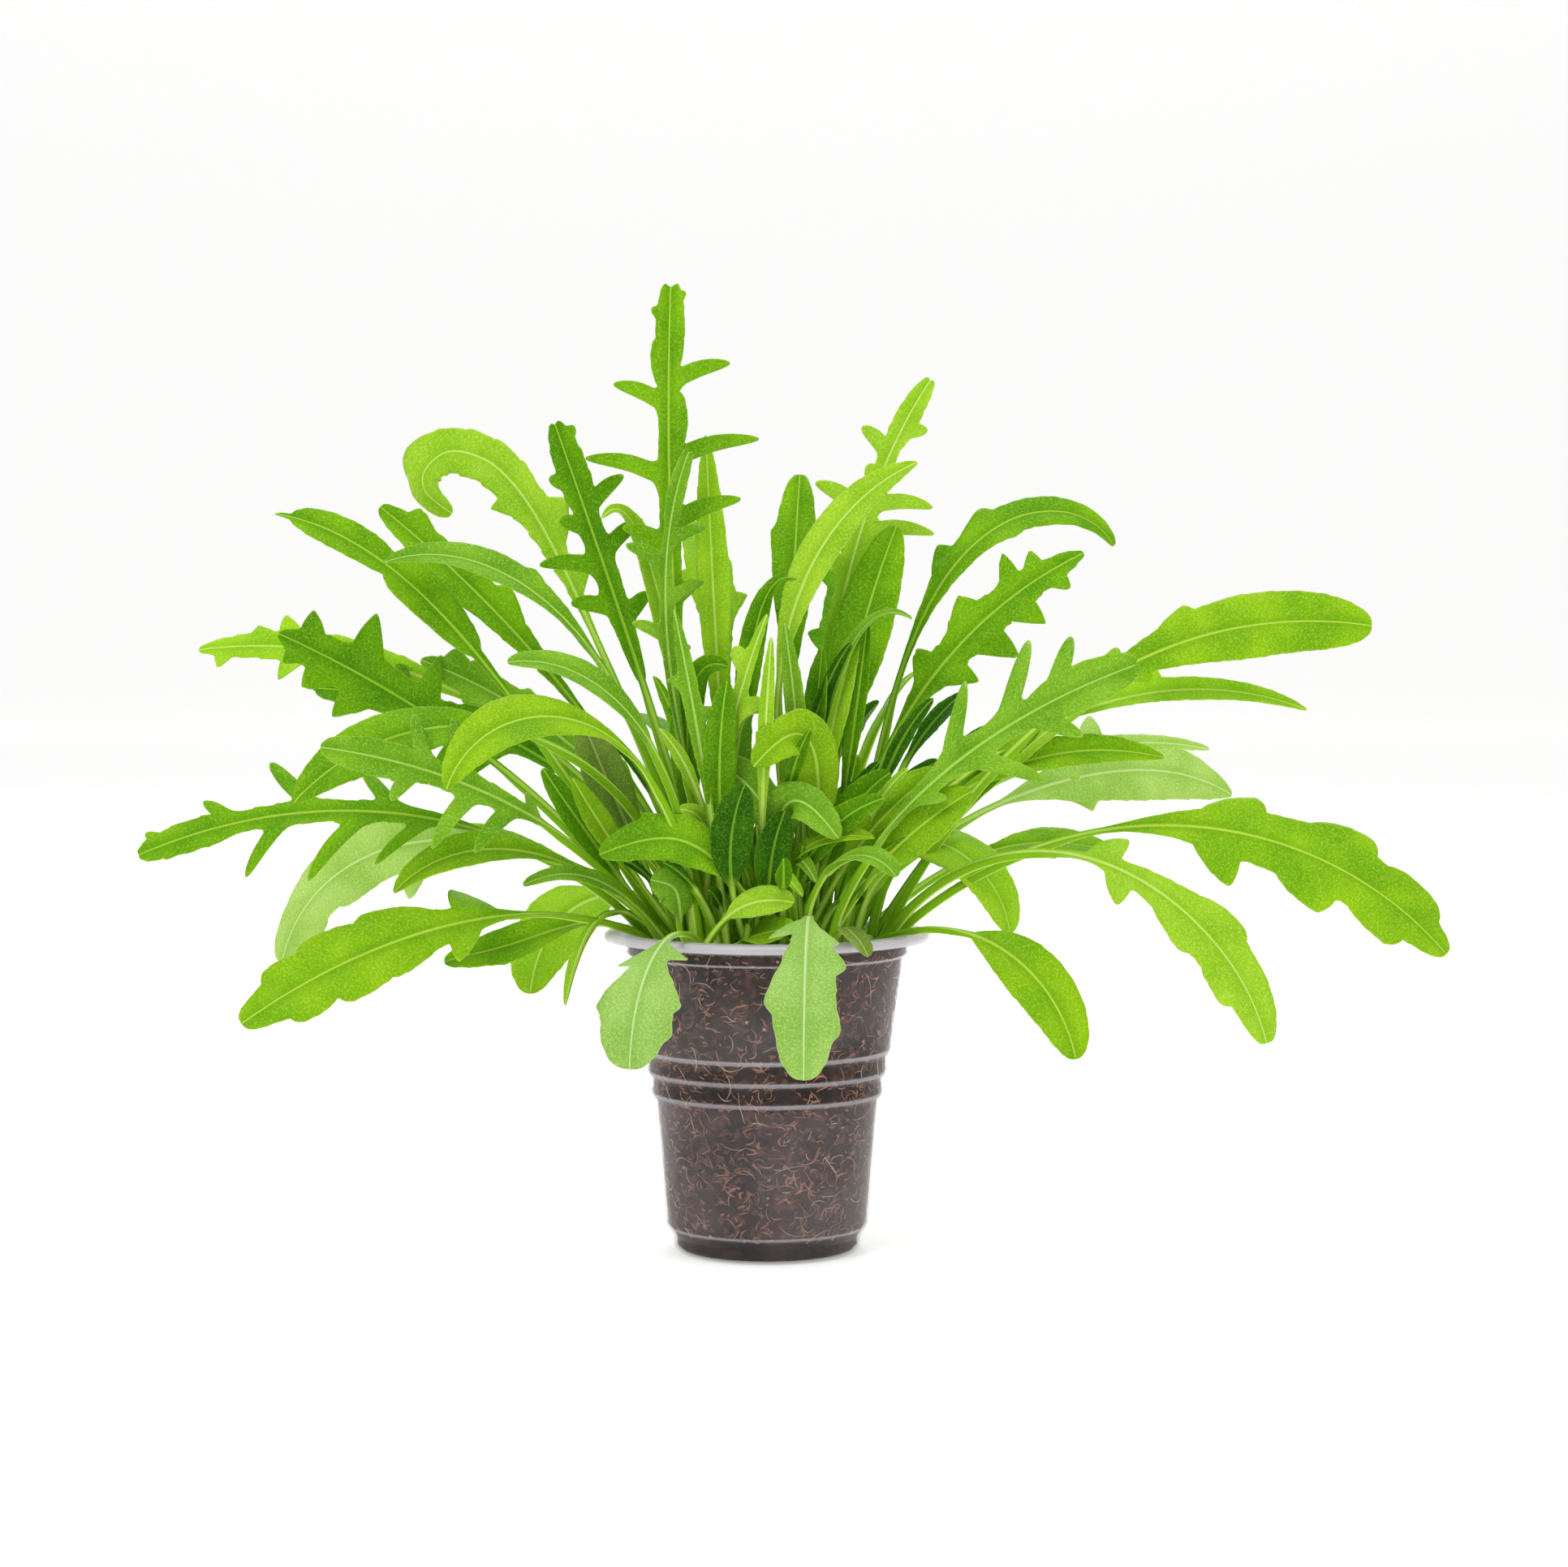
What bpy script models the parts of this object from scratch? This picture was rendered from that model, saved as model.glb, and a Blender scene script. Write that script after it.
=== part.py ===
"""Arugula growing in a thermoformed cup: the cup, its soil, eight root crowns and fifty leaves.

Lengths are in millimetres here and are turned into metres as each mesh is made. +Z is up, the origin is
the centre of the cup's flat base, +X is to the right and -Y is the front.
"""

import math
from collections import namedtuple

import bmesh
import bpy
from mathutils import Vector

MM = 0.001

# Cup: outer radii and heights, from the foot up.
CUP_HEIGHT = 74.2
CUP_WALL = 0.6
RIM_RADIUS = 37.5
RIM_LIP = 2.0
RIM_LEDGE = 4.9
COLLAR_RADIUS = RIM_RADIUS - RIM_LEDGE
COLLAR_HEIGHT = 5.0
COLLAR_STEP = 0.8
BAND_INSET = 6.6875
BAND_RADIUS = COLLAR_RADIUS - BAND_INSET
BAND_BOTTOM = 35.4
BAND_PITCH = 5.0
BAND_STEP = 0.95
BAND_RISE = 1.1
BAND_COUNT = 3
BODY_TAPER = 2.625
BODY_RADIUS = BAND_RADIUS - BODY_TAPER
FOOT_INSET = 1.6875
FOOT_RADIUS = BODY_RADIUS - FOOT_INSET
FOOT_HEIGHT = 3.6
FOOT_STEP = 2.3
CUP_SIDES = 40

# Soil and root crowns.
CLEARANCE = 0.3
SOIL_BELOW_RIM = 3.4
SOIL_MOUND = 0.9
CROWN_RADIUS = 1.9
CROWN_RISE = 2.2
ROOT_LENGTH = 22.0
ROOT_TIP_RADIUS = 0.5
CROWN_SIDES = 8

# Leaves: a stalk seats on one of eight places round its crown, STALK_RING from the crown's axis.
SEATS = 8
SEAT_GAP = 0.5
STALK_HALF_WIDTH = 1.05
STALK_RING = CROWN_RADIUS + SEAT_GAP + STALK_HALF_WIDTH
STALK_TOP = 0.55
STALK_KEEL = 0.95
NECK_HALF_WIDTH = 0.8
MIDRIB_TOP = 0.3
MIDRIB_KEEL = 0.8
TIP_SHARE = 0.35
STALK_STATIONS = 5
BLADE_STATIONS = (0.0, 0.16, 0.34, 0.52, 0.7, 0.84, 0.94, 0.985)
STATION_GAP = 0.018
PATH_STEPS = 160

# Places of the crowns on the soil. They spread with the rim, which stays 16.225 mm outside the outermost
# crown less half the ring of stalks round it, so that the stalks of two crowns keep their distance.
CROWN_SPREAD = (RIM_RADIUS - 16.225 + STALK_RING / 2) / 23.0
CROWNS = {
    "left": (-23 * CROWN_SPREAD, -1 * CROWN_SPREAD),
    "front_left": (-12 * CROWN_SPREAD, -18 * CROWN_SPREAD),
    "back_left": (-12 * CROWN_SPREAD, 17 * CROWN_SPREAD),
    "mid_left": (-8 * CROWN_SPREAD, 0),
    "mid_right": (8 * CROWN_SPREAD, 1 * CROWN_SPREAD),
    "front": (10 * CROWN_SPREAD, -19 * CROWN_SPREAD),
    "right": (23 * CROWN_SPREAD, -3 * CROWN_SPREAD),
    "back_right": (13 * CROWN_SPREAD, 17 * CROWN_SPREAD),
}

# A leaf style: where its outline is widest, how blunt its ends are, how far its side veins lean forward,
# how much its halves fold up, and half the length of blade that one lobe takes, in mm.
Style = namedtuple("Style", "peak blunt lean fold lobe_base")
STYLES = {
    "spoon": Style(1.9, 0.55, 0.35, 0.16, 3.4),
    "lance": Style(1.25, 0.8, 0.30, 0.22, 2.6),
    "oval": Style(1.15, 0.55, 0.30, 0.12, 2.4),
    "oak": Style(1.35, 0.6, 0.45, 0.14, 4.2),
    "finger": Style(1.3, 0.6, 0.40, 0.16, 3.6),
}

# heading, swerve, rise, droop and roll are in degrees: the compass way the leaf sets off, how far that
# turns by the tip, its slope at the crown, its slope at the tip, and how far its blade is turned over.
# bend says how late the slope changes, stalk is the bare share of the length, and a lobe is
# (place along the blade, side, reach from the midrib): +1 is the leaf's own left side, -1 its right.
Leaf = namedtuple(
    "Leaf", "name crown seat heading swerve rise droop bend length stalk width roll style lobes"
)
LEFT, RIGHT = 1, -1
LEAVES = (
    Leaf("low_left_broad", "left", 5, 191, 0, 45, -35, 0.45, 101, 0.25, 18, 62, "spoon",
         ((0.30, RIGHT, 10), (0.36, LEFT, 9), (0.70, RIGHT, 9.5))),
    Leaf("low_left_small", "left", 4, 176, 0, 52, -18, 0.4, 50, 0.35, 9, 45, "oval", ()),
    Leaf("far_left_fingered", "left", 3, 178, 0, 50, -24, 0.8, 130, 0.36, 9, 65, "finger",
         ((0.30, LEFT, 15), (0.42, RIGHT, 16), (0.60, LEFT, 15), (0.72, RIGHT, 9))),
    Leaf("front_left_fingered", "left", 6, 202, 0, 60, 8, 0.7, 96, 0.42, 10, 70, "finger",
         ((0.16, LEFT, 13), (0.36, LEFT, 14), (0.44, RIGHT, 14), (0.64, RIGHT, 13), (0.7, LEFT, 9))),
    Leaf("left_oak", "left", 2, 176, 0, 55, 24, 0.8, 116, 0.48, 17, 70, "oak",
         ((0.20, RIGHT, 13), (0.46, RIGHT, 15), (0.42, LEFT, 11), (0.76, RIGHT, 11), (0.74, LEFT, 10))),
    Leaf("left_arching", "left", 0, 196, 0, 88, -48, 1.0, 122, 0.50, 13, 35, "lance", ()),
    Leaf("left_twisting", "left", 1, 180, 0, 56, 8, 4.0, 138, 0.45, 11, 55, "lance", ()),
    Leaf("left_curving", "left", 7, 184, 0, 42, -50, 1.8, 74, 0.40, 9, 50, "lance", ()),
    Leaf("back_left_drooping", "back_left", 5, 163, 0, 26, -80, 2.2, 127, 0.38, 17, 45, "spoon",
         ((0.22, LEFT, 12), (0.62, LEFT, 10))),
    Leaf("back_left_bright", "back_left", 4, 168, 0, 60, -8, 1.1, 150, 0.50, 11, 60, "oak",
         ((0.60, LEFT, 9), (0.75, RIGHT, 7))),
    Leaf("left_spatulate", "back_left", 2, 172, 0, 64, 38, 1.0, 130, 0.38, 13, 70, "spoon",
         ((0.45, RIGHT, 7), (0.80, RIGHT, 7.5))),
    Leaf("left_curled", "back_left", 1, 165, 0, 65, -150, 10.0, 152, 0.45, 14, 75, "spoon",
         ((0.55, RIGHT, 8),)),
    Leaf("back_left_fingered", "back_left", 6, 170, 0, 55, 0, 1.2, 118, 0.42, 9, 60, "finger",
         ((0.30, LEFT, 13), (0.50, RIGHT, 13), (0.66, LEFT, 12))),
    Leaf("back_left_hanging", "back_left", 3, 142, 0, 35, -85, 1.2, 72, 0.35, 14, 20, "oval", ()),
    Leaf("left_fingered_tall", "mid_left", 3, 168, 0, 73, 70, 1.0, 125, 0.48, 8, 75, "finger",
         ((0.15, LEFT, 11), (0.22, RIGHT, 12), (0.45, RIGHT, 11), (0.60, LEFT, 9))),
    Leaf("tallest", "mid_left", 4, 180, 0, 76, 92, 0.6, 150, 0.42, 7, 85, "finger",
         ((0.24, LEFT, 14), (0.36, RIGHT, 16), (0.40, LEFT, 18), (0.52, RIGHT, 18), (0.70, LEFT, 12),
          (0.72, RIGHT, 14))),
    Leaf("slim_fingered", "mid_left", 6, 200, 0, 74, 112, 2.5, 114, 0.40, 5, 80, "finger",
         ((0.25, RIGHT, 9), (0.42, LEFT, 8), (0.55, RIGHT, 9))),
    Leaf("back_upright", "mid_left", 2, 150, 0, 86, 87, 1.0, 116, 0.30, 9, 50, "lance", ()),
    Leaf("mid_left_arching", "mid_left", 5, 183, 0, 70, -22, 3.0, 128, 0.52, 11, 40, "lance", ()),
    Leaf("left_toothed", "back_left", 7, 181, 0, 60, 20, 1.2, 98, 0.48, 11, 65, "oak",
         ((0.60, LEFT, 7),)),
    Leaf("mid_smooth", "mid_right", 4, 75, 0, 90, 74, 1.5, 108, 0.42, 11, 0, "spoon", ()),
    Leaf("mid_leaning", "mid_right", 6, 5, 0, 100, 22, 2.2, 122, 0.45, 11.5, -60, "lance", ()),
    Leaf("right_fingered_tall", "mid_right", 2, 30, 0, 85, 52, 2.2, 136, 0.35, 7, -60, "finger",
         ((0.12, LEFT, 11), (0.34, LEFT, 13), (0.36, RIGHT, 14), (0.52, RIGHT, 11), (0.74, LEFT, 8),
          (0.76, RIGHT, 6))),
    Leaf("right_oval", "mid_right", 0, 10, 0, 86, 68, 1.5, 97, 0.48, 14, -80, "oval", ()),
    Leaf("mid_dark", "mid_right", 7, -20, 0, 92, 84, 1.0, 67, 0.50, 8, -60, "lance", ()),
    Leaf("back_right_upright", "mid_right", 3, 70, 0, 72, 40, 1.5, 118, 0.45, 12, 0, "oak",
         ((0.45, LEFT, 9), (0.55, RIGHT, 9))),
    Leaf("front_left_arching", "front_left", 3, 208, 0, 82, -72, 1.8, 102, 0.42, 13.5, 40, "lance", ()),
    Leaf("front_left_over_rim", "front_left", 5, 248, 0, 45, -88, 0.8, 57, 0.30, 20, 0, "spoon",
         ((0.40, LEFT, 10), (0.70, RIGHT, 10), (0.72, LEFT, 10.5))),
    Leaf("front_pale_small", "front_left", 7, -30, 0, 25, 10, 1.0, 19, 0.25, 7.5, -50, "oval", ()),
    Leaf("front_left_small", "front_left", 4, 190, 0, 35, 10, 1.5, 20, 0.40, 9, 60, "oval", ()),
    Leaf("left_grey", "front_left", 2, 193, 0, 78, -10, 2.5, 88, 0.55, 10, 40, "oval", ()),
    Leaf("back_leaning", "mid_left", 1, 102, 0, 78, 30, 1.5, 118, 0.42, 12, 0, "spoon",
         ((0.45, LEFT, 8), (0.62, RIGHT, 8))),
    Leaf("front_over_rim", "front", 6, -93, 0, 80, -92, 0.6, 66, 0.20, 17, 0, "spoon",
         ((0.30, RIGHT, 8.5), (0.55, LEFT, 9), (0.75, LEFT, 8.5))),
    Leaf("front_olive_small", "front", 7, -52, 0, 45, -60, 1.3, 26, 0.45, 6, 0, "oval", ()),
    Leaf("front_grey_small", "front", 5, -40, 0, 85, -50, 1.5, 42, 0.45, 9, -20, "oval", ()),
    Leaf("right_oak", "front", 0, -12, 0, 88, 20, 0.5, 98, 0.30, 13, -70, "oak",
         ((0.18, LEFT, 10), (0.34, LEFT, 16), (0.40, RIGHT, 16), (0.62, LEFT, 16), (0.74, RIGHT, 10),
          (0.82, LEFT, 9))),
    Leaf("right_front_short", "front", 1, -15, 0, 62, 30, 1.0, 50, 0.40, 11, -70, "oval", ()),
    Leaf("front_left_broad", "front", 4, 183, 0, 55, -25, 0.9, 58, 0.35, 12, 60, "oval", ()),
    Leaf("front_centre", "front", 3, 165, 0, 84, 20, 2.0, 50, 0.50, 10, 60, "oval", ()),
    Leaf("right_long", "right", 1, 3, 0, 64, -9, 1.2, 144, 0.42, 15, -65, "spoon",
         ((0.42, LEFT, 8.5),)),
    Leaf("right_broad", "right", 0, -5, 0, 43, -50, 1.1, 144, 0.36, 19, -55, "oak",
         ((0.30, RIGHT, 13), (0.44, LEFT, 12), (0.58, RIGHT, 11), (0.72, LEFT, 10))),
    Leaf("right_hanging", "right", 7, -16, 0, 58, -76, 0.95, 120, 0.45, 14, -50, "oak",
         ((0.16, LEFT, 10), (0.20, RIGHT, 8), (0.50, LEFT, 8.5))),
    Leaf("right_spoon", "right", 6, -28, 0, 28, -78, 1.0, 66, 0.40, 15, -40, "oval", ()),
    Leaf("right_level", "right", 2, 8, 0, 86, -14, 0.8, 92, 0.40, 8, -50, "lance", ()),
    Leaf("right_pale_arching", "mid_right", 1, 6, 0, 52, -22, 1.6, 138, 0.50, 8, -55, "lance",
         ((0.20, LEFT, 8),)),
    Leaf("right_arching", "back_right", 0, 12, 0, 77, -62, 4.0, 138, 0.40, 11, -50, "spoon",
         ((0.40, LEFT, 6.5),)),
    Leaf("right_serrated", "back_right", 7, 6, 0, 82, 25, 1.2, 112, 0.42, 15, -70, "oak",
         ((0.22, RIGHT, 11), (0.45, RIGHT, 11), (0.50, LEFT, 10), (0.66, LEFT, 8), (0.7, RIGHT, 8.5))),
    Leaf("back_right_grey", "back_right", 1, 18, 0, 52, -12, 1.2, 112, 0.45, 8, -50, "oak",
         ((0.35, LEFT, 9), (0.40, RIGHT, 8))),
    Leaf("back_right_pale", "back_right", 2, 32, 0, 36, -28, 2.0, 128, 0.40, 12, -45, "lance", ()),
    Leaf("back_right_hanging", "back_right", 6, -18, 0, 60, -85, 1.3, 75, 0.38, 15, -30, "oval", ()),
)


def clear_scene():
    for obj in list(bpy.data.objects):
        bpy.data.objects.remove(obj)


def collection(name):
    found = bpy.data.collections.new(name)
    bpy.context.scene.collection.children.link(found)
    return found


def material(name, colour, roughness, alpha=1.0):
    made = bpy.data.materials.new(name)
    made.use_nodes = True
    shader = made.node_tree.nodes["Principled BSDF"]
    shader.inputs["Base Color"].default_value = (*colour, 1.0)
    shader.inputs["Roughness"].default_value = roughness
    shader.inputs["Metallic"].default_value = 0.0
    shader.inputs["Alpha"].default_value = alpha
    return made


def turned(name, profile, sides, group, finish):
    """A solid of revolution. The profile's (radius, height) points run down its outer side."""
    mesh = bpy.data.meshes.new(name)
    points = [(radius * MM, 0.0, height * MM) for radius, height in profile]
    mesh.from_pydata(points, [(i, i + 1) for i in range(len(points) - 1)], [])
    obj = bpy.data.objects.new(name, mesh)
    group.objects.link(obj)
    screw = obj.modifiers.new("turn", "SCREW")
    screw.steps = screw.render_steps = sides
    screw.use_merge_vertices = True
    screw.merge_threshold = 0.0001
    mesh.materials.append(finish)
    return obj


def cup_wall_points():
    """The cup's outer wall as (radius, height), from the foot up to the collar's top."""
    points = [
        (FOOT_RADIUS - 1.2, 0.0),
        (FOOT_RADIUS, 1.2),
        (FOOT_RADIUS + 0.1, FOOT_HEIGHT),
        (BODY_RADIUS, FOOT_HEIGHT + FOOT_STEP),
        (BAND_RADIUS, BAND_BOTTOM),
    ]
    for band in range(BAND_COUNT):
        radius = BAND_RADIUS + (band + 1) * BAND_STEP
        height = BAND_BOTTOM + band * BAND_PITCH + BAND_RISE
        points.append((radius, height))
        if band < BAND_COUNT - 1:
            points.append((radius + 0.05, height + BAND_PITCH - BAND_RISE))
    collar = CUP_HEIGHT - COLLAR_HEIGHT
    points += [
        (COLLAR_RADIUS - COLLAR_STEP, collar - COLLAR_STEP),
        (COLLAR_RADIUS, collar),
        (COLLAR_RADIUS, CUP_HEIGHT - CUP_WALL),
    ]
    return points


def inner_wall_points(gap):
    """The wall's points moved in by gap, from the floor up."""
    wall = cup_wall_points()
    floor = [(wall[0][0] - gap * 0.4, gap), (wall[1][0] - gap, wall[1][1] + gap * 0.4)]
    return floor + [(radius - gap, height) for radius, height in wall[2:]]


def cup(group, finish):
    outer = cup_wall_points()
    inner = inner_wall_points(CUP_WALL)
    inner_top = (COLLAR_RADIUS - CUP_WALL, CUP_HEIGHT)
    rim = [
        (RIM_RADIUS - 0.7, CUP_HEIGHT),
        (RIM_RADIUS, CUP_HEIGHT - 0.7),
        (RIM_RADIUS, CUP_HEIGHT - RIM_LIP),
        (RIM_RADIUS - CUP_WALL, CUP_HEIGHT - RIM_LIP),
        (RIM_RADIUS - CUP_WALL - 0.3, CUP_HEIGHT - CUP_WALL),
    ]
    profile = [(0.0, CUP_WALL)] + inner[:-1] + [inner_top] + rim + outer[::-1] + [(0.0, 0.0)]
    return turned("cup", profile, CUP_SIDES, group, finish)


def soil_top(radius):
    """Height of the gently mounded soil at this distance from the cup's axis."""
    edge = COLLAR_RADIUS - CUP_WALL - CLEARANCE
    return CUP_HEIGHT - SOIL_BELOW_RIM + SOIL_MOUND * (1 - (radius / edge) ** 2)


def crown_profile(level, gap):
    """A crown's dome and taproot, grown by gap on every side."""
    top = level + CROWN_RISE
    return [
        (0.0, top + gap),
        (CROWN_RADIUS * 0.6 + gap, top - CROWN_RADIUS * 0.15 + gap),
        (CROWN_RADIUS + gap, top - CROWN_RADIUS * 0.7),
        (CROWN_RADIUS + gap, level - CROWN_RADIUS),
        (CROWN_RADIUS * 0.5 + gap, level - ROOT_LENGTH * 0.5),
        (ROOT_TIP_RADIUS + gap, level - ROOT_LENGTH - gap),
        (0.0, level - ROOT_LENGTH - gap),
    ]


def crown_level(place):
    return soil_top(math.hypot(*place))


def crown(name, place, group, finish):
    obj = turned(name, crown_profile(crown_level(place), 0.0), CROWN_SIDES, group, finish)
    obj.location = (place[0] * MM, place[1] * MM, 0.0)
    return obj


def soil(group, cutters, finish):
    gap = CUP_WALL + CLEARANCE
    wall = [point for point in inner_wall_points(gap) if point[1] < soil_top(COLLAR_RADIUS)]
    edge = COLLAR_RADIUS - gap
    top = [(edge * share, soil_top(edge * share)) for share in (0.0, 0.35, 0.65, 0.85, 1.0)]
    obj = turned("soil", top + wall[::-1] + [(0.0, gap)], CUP_SIDES, group, finish)
    for name, place in CROWNS.items():
        pocket = turned(f"pocket_{name}", crown_profile(crown_level(place), CLEARANCE),
                        CROWN_SIDES, cutters, finish)
        pocket.location = (place[0] * MM, place[1] * MM, 0.0)
        pocket.hide_render = True
        pocket.display_type = "WIRE"
        cut = obj.modifiers.new(f"pocket_{name}", "BOOLEAN")
        cut.operation = "DIFFERENCE"
        cut.solver = "EXACT"
        cut.object = pocket
    return obj


def smoothstep(low, high, value):
    share = min(1.0, max(0.0, (value - low) / (high - low)))
    return share * share * (3 - 2 * share)


def leaf_base(leaf):
    """Where the stalk meets the soil, beside its crown."""
    x, y = CROWNS[leaf.crown]
    angle = leaf.seat * 2 * math.pi / SEATS
    level = crown_level((x, y)) + CLEARANCE + SOIL_MOUND * 0.5
    return Vector((x + STALK_RING * math.cos(angle), y + STALK_RING * math.sin(angle), level))


def leaf_path(leaf):
    """(point, forward, left, up) at PATH_STEPS + 1 places along the leaf's midrib."""
    point, path = leaf_base(leaf), []
    for step in range(PATH_STEPS + 1):
        share = step / PATH_STEPS
        slope = math.radians(leaf.rise + (leaf.droop - leaf.rise) * share**leaf.bend)
        compass = math.radians(leaf.heading + leaf.swerve * share)
        level = Vector((math.cos(compass), math.sin(compass), 0.0))
        forward = level * math.cos(slope) + Vector((0.0, 0.0, math.sin(slope)))
        left = Vector((-level.y, level.x, 0.0))
        up = forward.cross(left)
        turn = math.radians(leaf.roll) * smoothstep(0.1, 0.6, share)
        rolled_up = up * math.cos(turn) + left * math.sin(turn)
        rolled_left = left * math.cos(turn) - up * math.sin(turn)
        path.append((point.copy(), forward, rolled_left, rolled_up))
        point = point + forward * (leaf.length / PATH_STEPS)
    return path


def outline(leaf, side, place):
    """Distance from the midrib to the blade's edge on one side, at this place along the blade."""
    style = STYLES[leaf.style]
    swell = max(0.0, math.sin(math.pi * min(1.0, place) ** style.peak)) ** style.blunt
    edge = NECK_HALF_WIDTH * (1 - place) + (leaf.width / 2 - NECK_HALF_WIDTH) * swell
    reach_share = style.lobe_base / blade_length(leaf)
    for centre, lobe_side, reach in leaf.lobes:
        off = abs(place - centre) / reach_share
        if lobe_side == side and off < 1.0:
            edge += (max(reach, edge) - edge) * min(1.0, (1.0 - off) * 1.6)
    return edge


def blade_length(leaf):
    return leaf.length * (1 - leaf.stalk)


def blade_places(leaf):
    """Places along the blade that get a cross-section: an even set, and four for each lobe."""
    reach_share = STYLES[leaf.style].lobe_base / blade_length(leaf)
    lobes = [centre + reach_share * part for centre, _, _ in leaf.lobes for part in (-1, -0.3, 0.3, 1)]
    places = sorted(place for place in lobes if 0.02 < place < 0.96)
    kept = []
    for place in places:
        if not kept or place - kept[-1] > STATION_GAP * 0.6:
            kept.append(place)
    for place in BLADE_STATIONS:
        if all(abs(place - other) > STATION_GAP for other in kept):
            kept.append(place)
    return sorted(kept)


def leaf_sections(leaf):
    """Four-cornered cross-sections (left edge, midrib top, right edge, keel), and the tip point."""
    path = leaf_path(leaf)
    style = STYLES[leaf.style]
    sections = []
    for step in range(STALK_STATIONS):
        share = leaf.stalk * step / STALK_STATIONS
        flare = (1 - step / STALK_STATIONS) ** 2
        half = NECK_HALF_WIDTH + (STALK_HALF_WIDTH - NECK_HALF_WIDTH) * flare
        top = MIDRIB_TOP + (STALK_TOP - MIDRIB_TOP) * flare
        keel = MIDRIB_KEEL + (STALK_KEEL - MIDRIB_KEEL) * flare
        point, _, left, up = path[round(share * PATH_STEPS)]
        sections.append(
            [point + left * half, point + up * top, point - left * half, point - up * keel]
        )
    for place in blade_places(leaf):
        share = leaf.stalk + (1 - leaf.stalk) * place
        point, forward, left, up = path[round(share * PATH_STEPS)]
        thin = 1 - (1 - TIP_SHARE) * place
        edges = []
        for side in (LEFT, RIGHT):
            width = outline(leaf, side, place)
            lean = style.lean * max(0.0, width - NECK_HALF_WIDTH) * (1 - place)
            lift = style.fold * (width - NECK_HALF_WIDTH)
            edges.append(point + left * side * width + forward * lean + up * lift)
        top, keel = point + up * MIDRIB_TOP * thin, point - up * MIDRIB_KEEL * thin
        sections.append([edges[0], top, edges[1], keel])
    return sections, path[-1][0]


def leaf_object(leaf, group, finish):
    """The leaf as a loft through its sections. It is built by hand because no two sections are alike."""
    sections, tip = leaf_sections(leaf)
    model = bmesh.new()
    rings = [[model.verts.new(corner * MM) for corner in section] for section in sections]
    end = model.verts.new(tip * MM)
    model.faces.new(rings[0])
    for near, far in zip(rings, rings[1:]):
        for i in range(4):
            j = (i + 1) % 4
            model.faces.new((near[i], far[i], far[j], near[j]))
    for i in range(4):
        model.faces.new((rings[-1][i], end, rings[-1][(i + 1) % 4]))
    bmesh.ops.recalc_face_normals(model, faces=model.faces)
    mesh = bpy.data.meshes.new(f"leaf_{leaf.name}")
    model.to_mesh(mesh)
    model.free()
    mesh.materials.append(finish)
    obj = bpy.data.objects.new(mesh.name, mesh)
    group.objects.link(obj)
    return obj


def main():
    clear_scene()
    group, cutters = collection("arugula_plant"), collection("cutters")
    clear_plastic = material("clear_plastic", (0.55, 0.53, 0.54), 0.3, alpha=0.5)
    dark_soil = material("dark_soil", (0.045, 0.028, 0.022), 0.95)
    pale_crown = material("pale_crown", (0.45, 0.52, 0.2), 0.5)
    leaf_green = material("leaf_green", (0.2, 0.45, 0.03), 0.5)
    cup(group, clear_plastic)
    soil(group, cutters, dark_soil)
    for name, place in CROWNS.items():
        crown(f"crown_{name}", place, group, pale_crown)
    for leaf in LEAVES:
        leaf_object(leaf, group, leaf_green)


main()
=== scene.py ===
"""Arugula in its cup: toothed and lobed leaves, crowns, peat, a thin plastic cup and a plain pale stage.

Lengths in the tables are in millimetres. +Z is up, -Y is the front, and the cup stands on z = 0.
"""

import math
from collections import namedtuple

import bmesh
import bpy
import numpy as np
from bpy.props import FloatProperty, FloatVectorProperty, IntProperty, PointerProperty
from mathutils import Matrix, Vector


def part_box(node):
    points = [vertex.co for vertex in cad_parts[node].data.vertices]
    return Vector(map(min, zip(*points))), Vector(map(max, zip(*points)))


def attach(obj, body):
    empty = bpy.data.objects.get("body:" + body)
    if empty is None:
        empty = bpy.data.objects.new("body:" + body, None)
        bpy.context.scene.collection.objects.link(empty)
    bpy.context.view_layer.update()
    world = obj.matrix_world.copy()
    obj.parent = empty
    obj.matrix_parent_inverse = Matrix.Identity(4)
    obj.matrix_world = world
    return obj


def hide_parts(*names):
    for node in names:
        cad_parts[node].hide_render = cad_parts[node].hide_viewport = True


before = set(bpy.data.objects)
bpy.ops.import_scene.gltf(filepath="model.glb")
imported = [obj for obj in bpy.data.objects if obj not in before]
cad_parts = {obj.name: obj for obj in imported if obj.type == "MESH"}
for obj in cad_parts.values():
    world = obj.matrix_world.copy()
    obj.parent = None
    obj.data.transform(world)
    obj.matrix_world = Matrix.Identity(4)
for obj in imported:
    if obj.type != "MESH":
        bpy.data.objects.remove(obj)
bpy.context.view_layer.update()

bl_info = {
    "name": "Arugula in a cup",
    "version": (1, 0, 0),
    "blender": (4, 5, 0),
    "location": "View3D > Sidebar > Arugula",
    "description": "Makes a potted arugula plant, its cup and a plain stage",
    "category": "Add Mesh",
}

MM = 0.001
LEFT, RIGHT = 1, -1


# ---------------------------------------------------------------- colours and nodes

def linear(code):
    """An sRGB hex colour as linear (r, g, b)."""
    parts = [int(code[i : i + 2], 16) / 255 for i in (1, 3, 5)]
    return tuple(p / 12.92 if p <= 0.04045 else ((p + 0.055) / 1.055) ** 2.4 for p in parts)


SMOOTH = {"interpolation_type": "SMOOTHSTEP"}
COLOURS = {"data_type": "RGBA"}
TIMES, PLUS, MINUS = ({"operation": name} for name in ("MULTIPLY", "ADD", "SUBTRACT"))
LARGER = {"operation": "MAXIMUM"}


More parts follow.
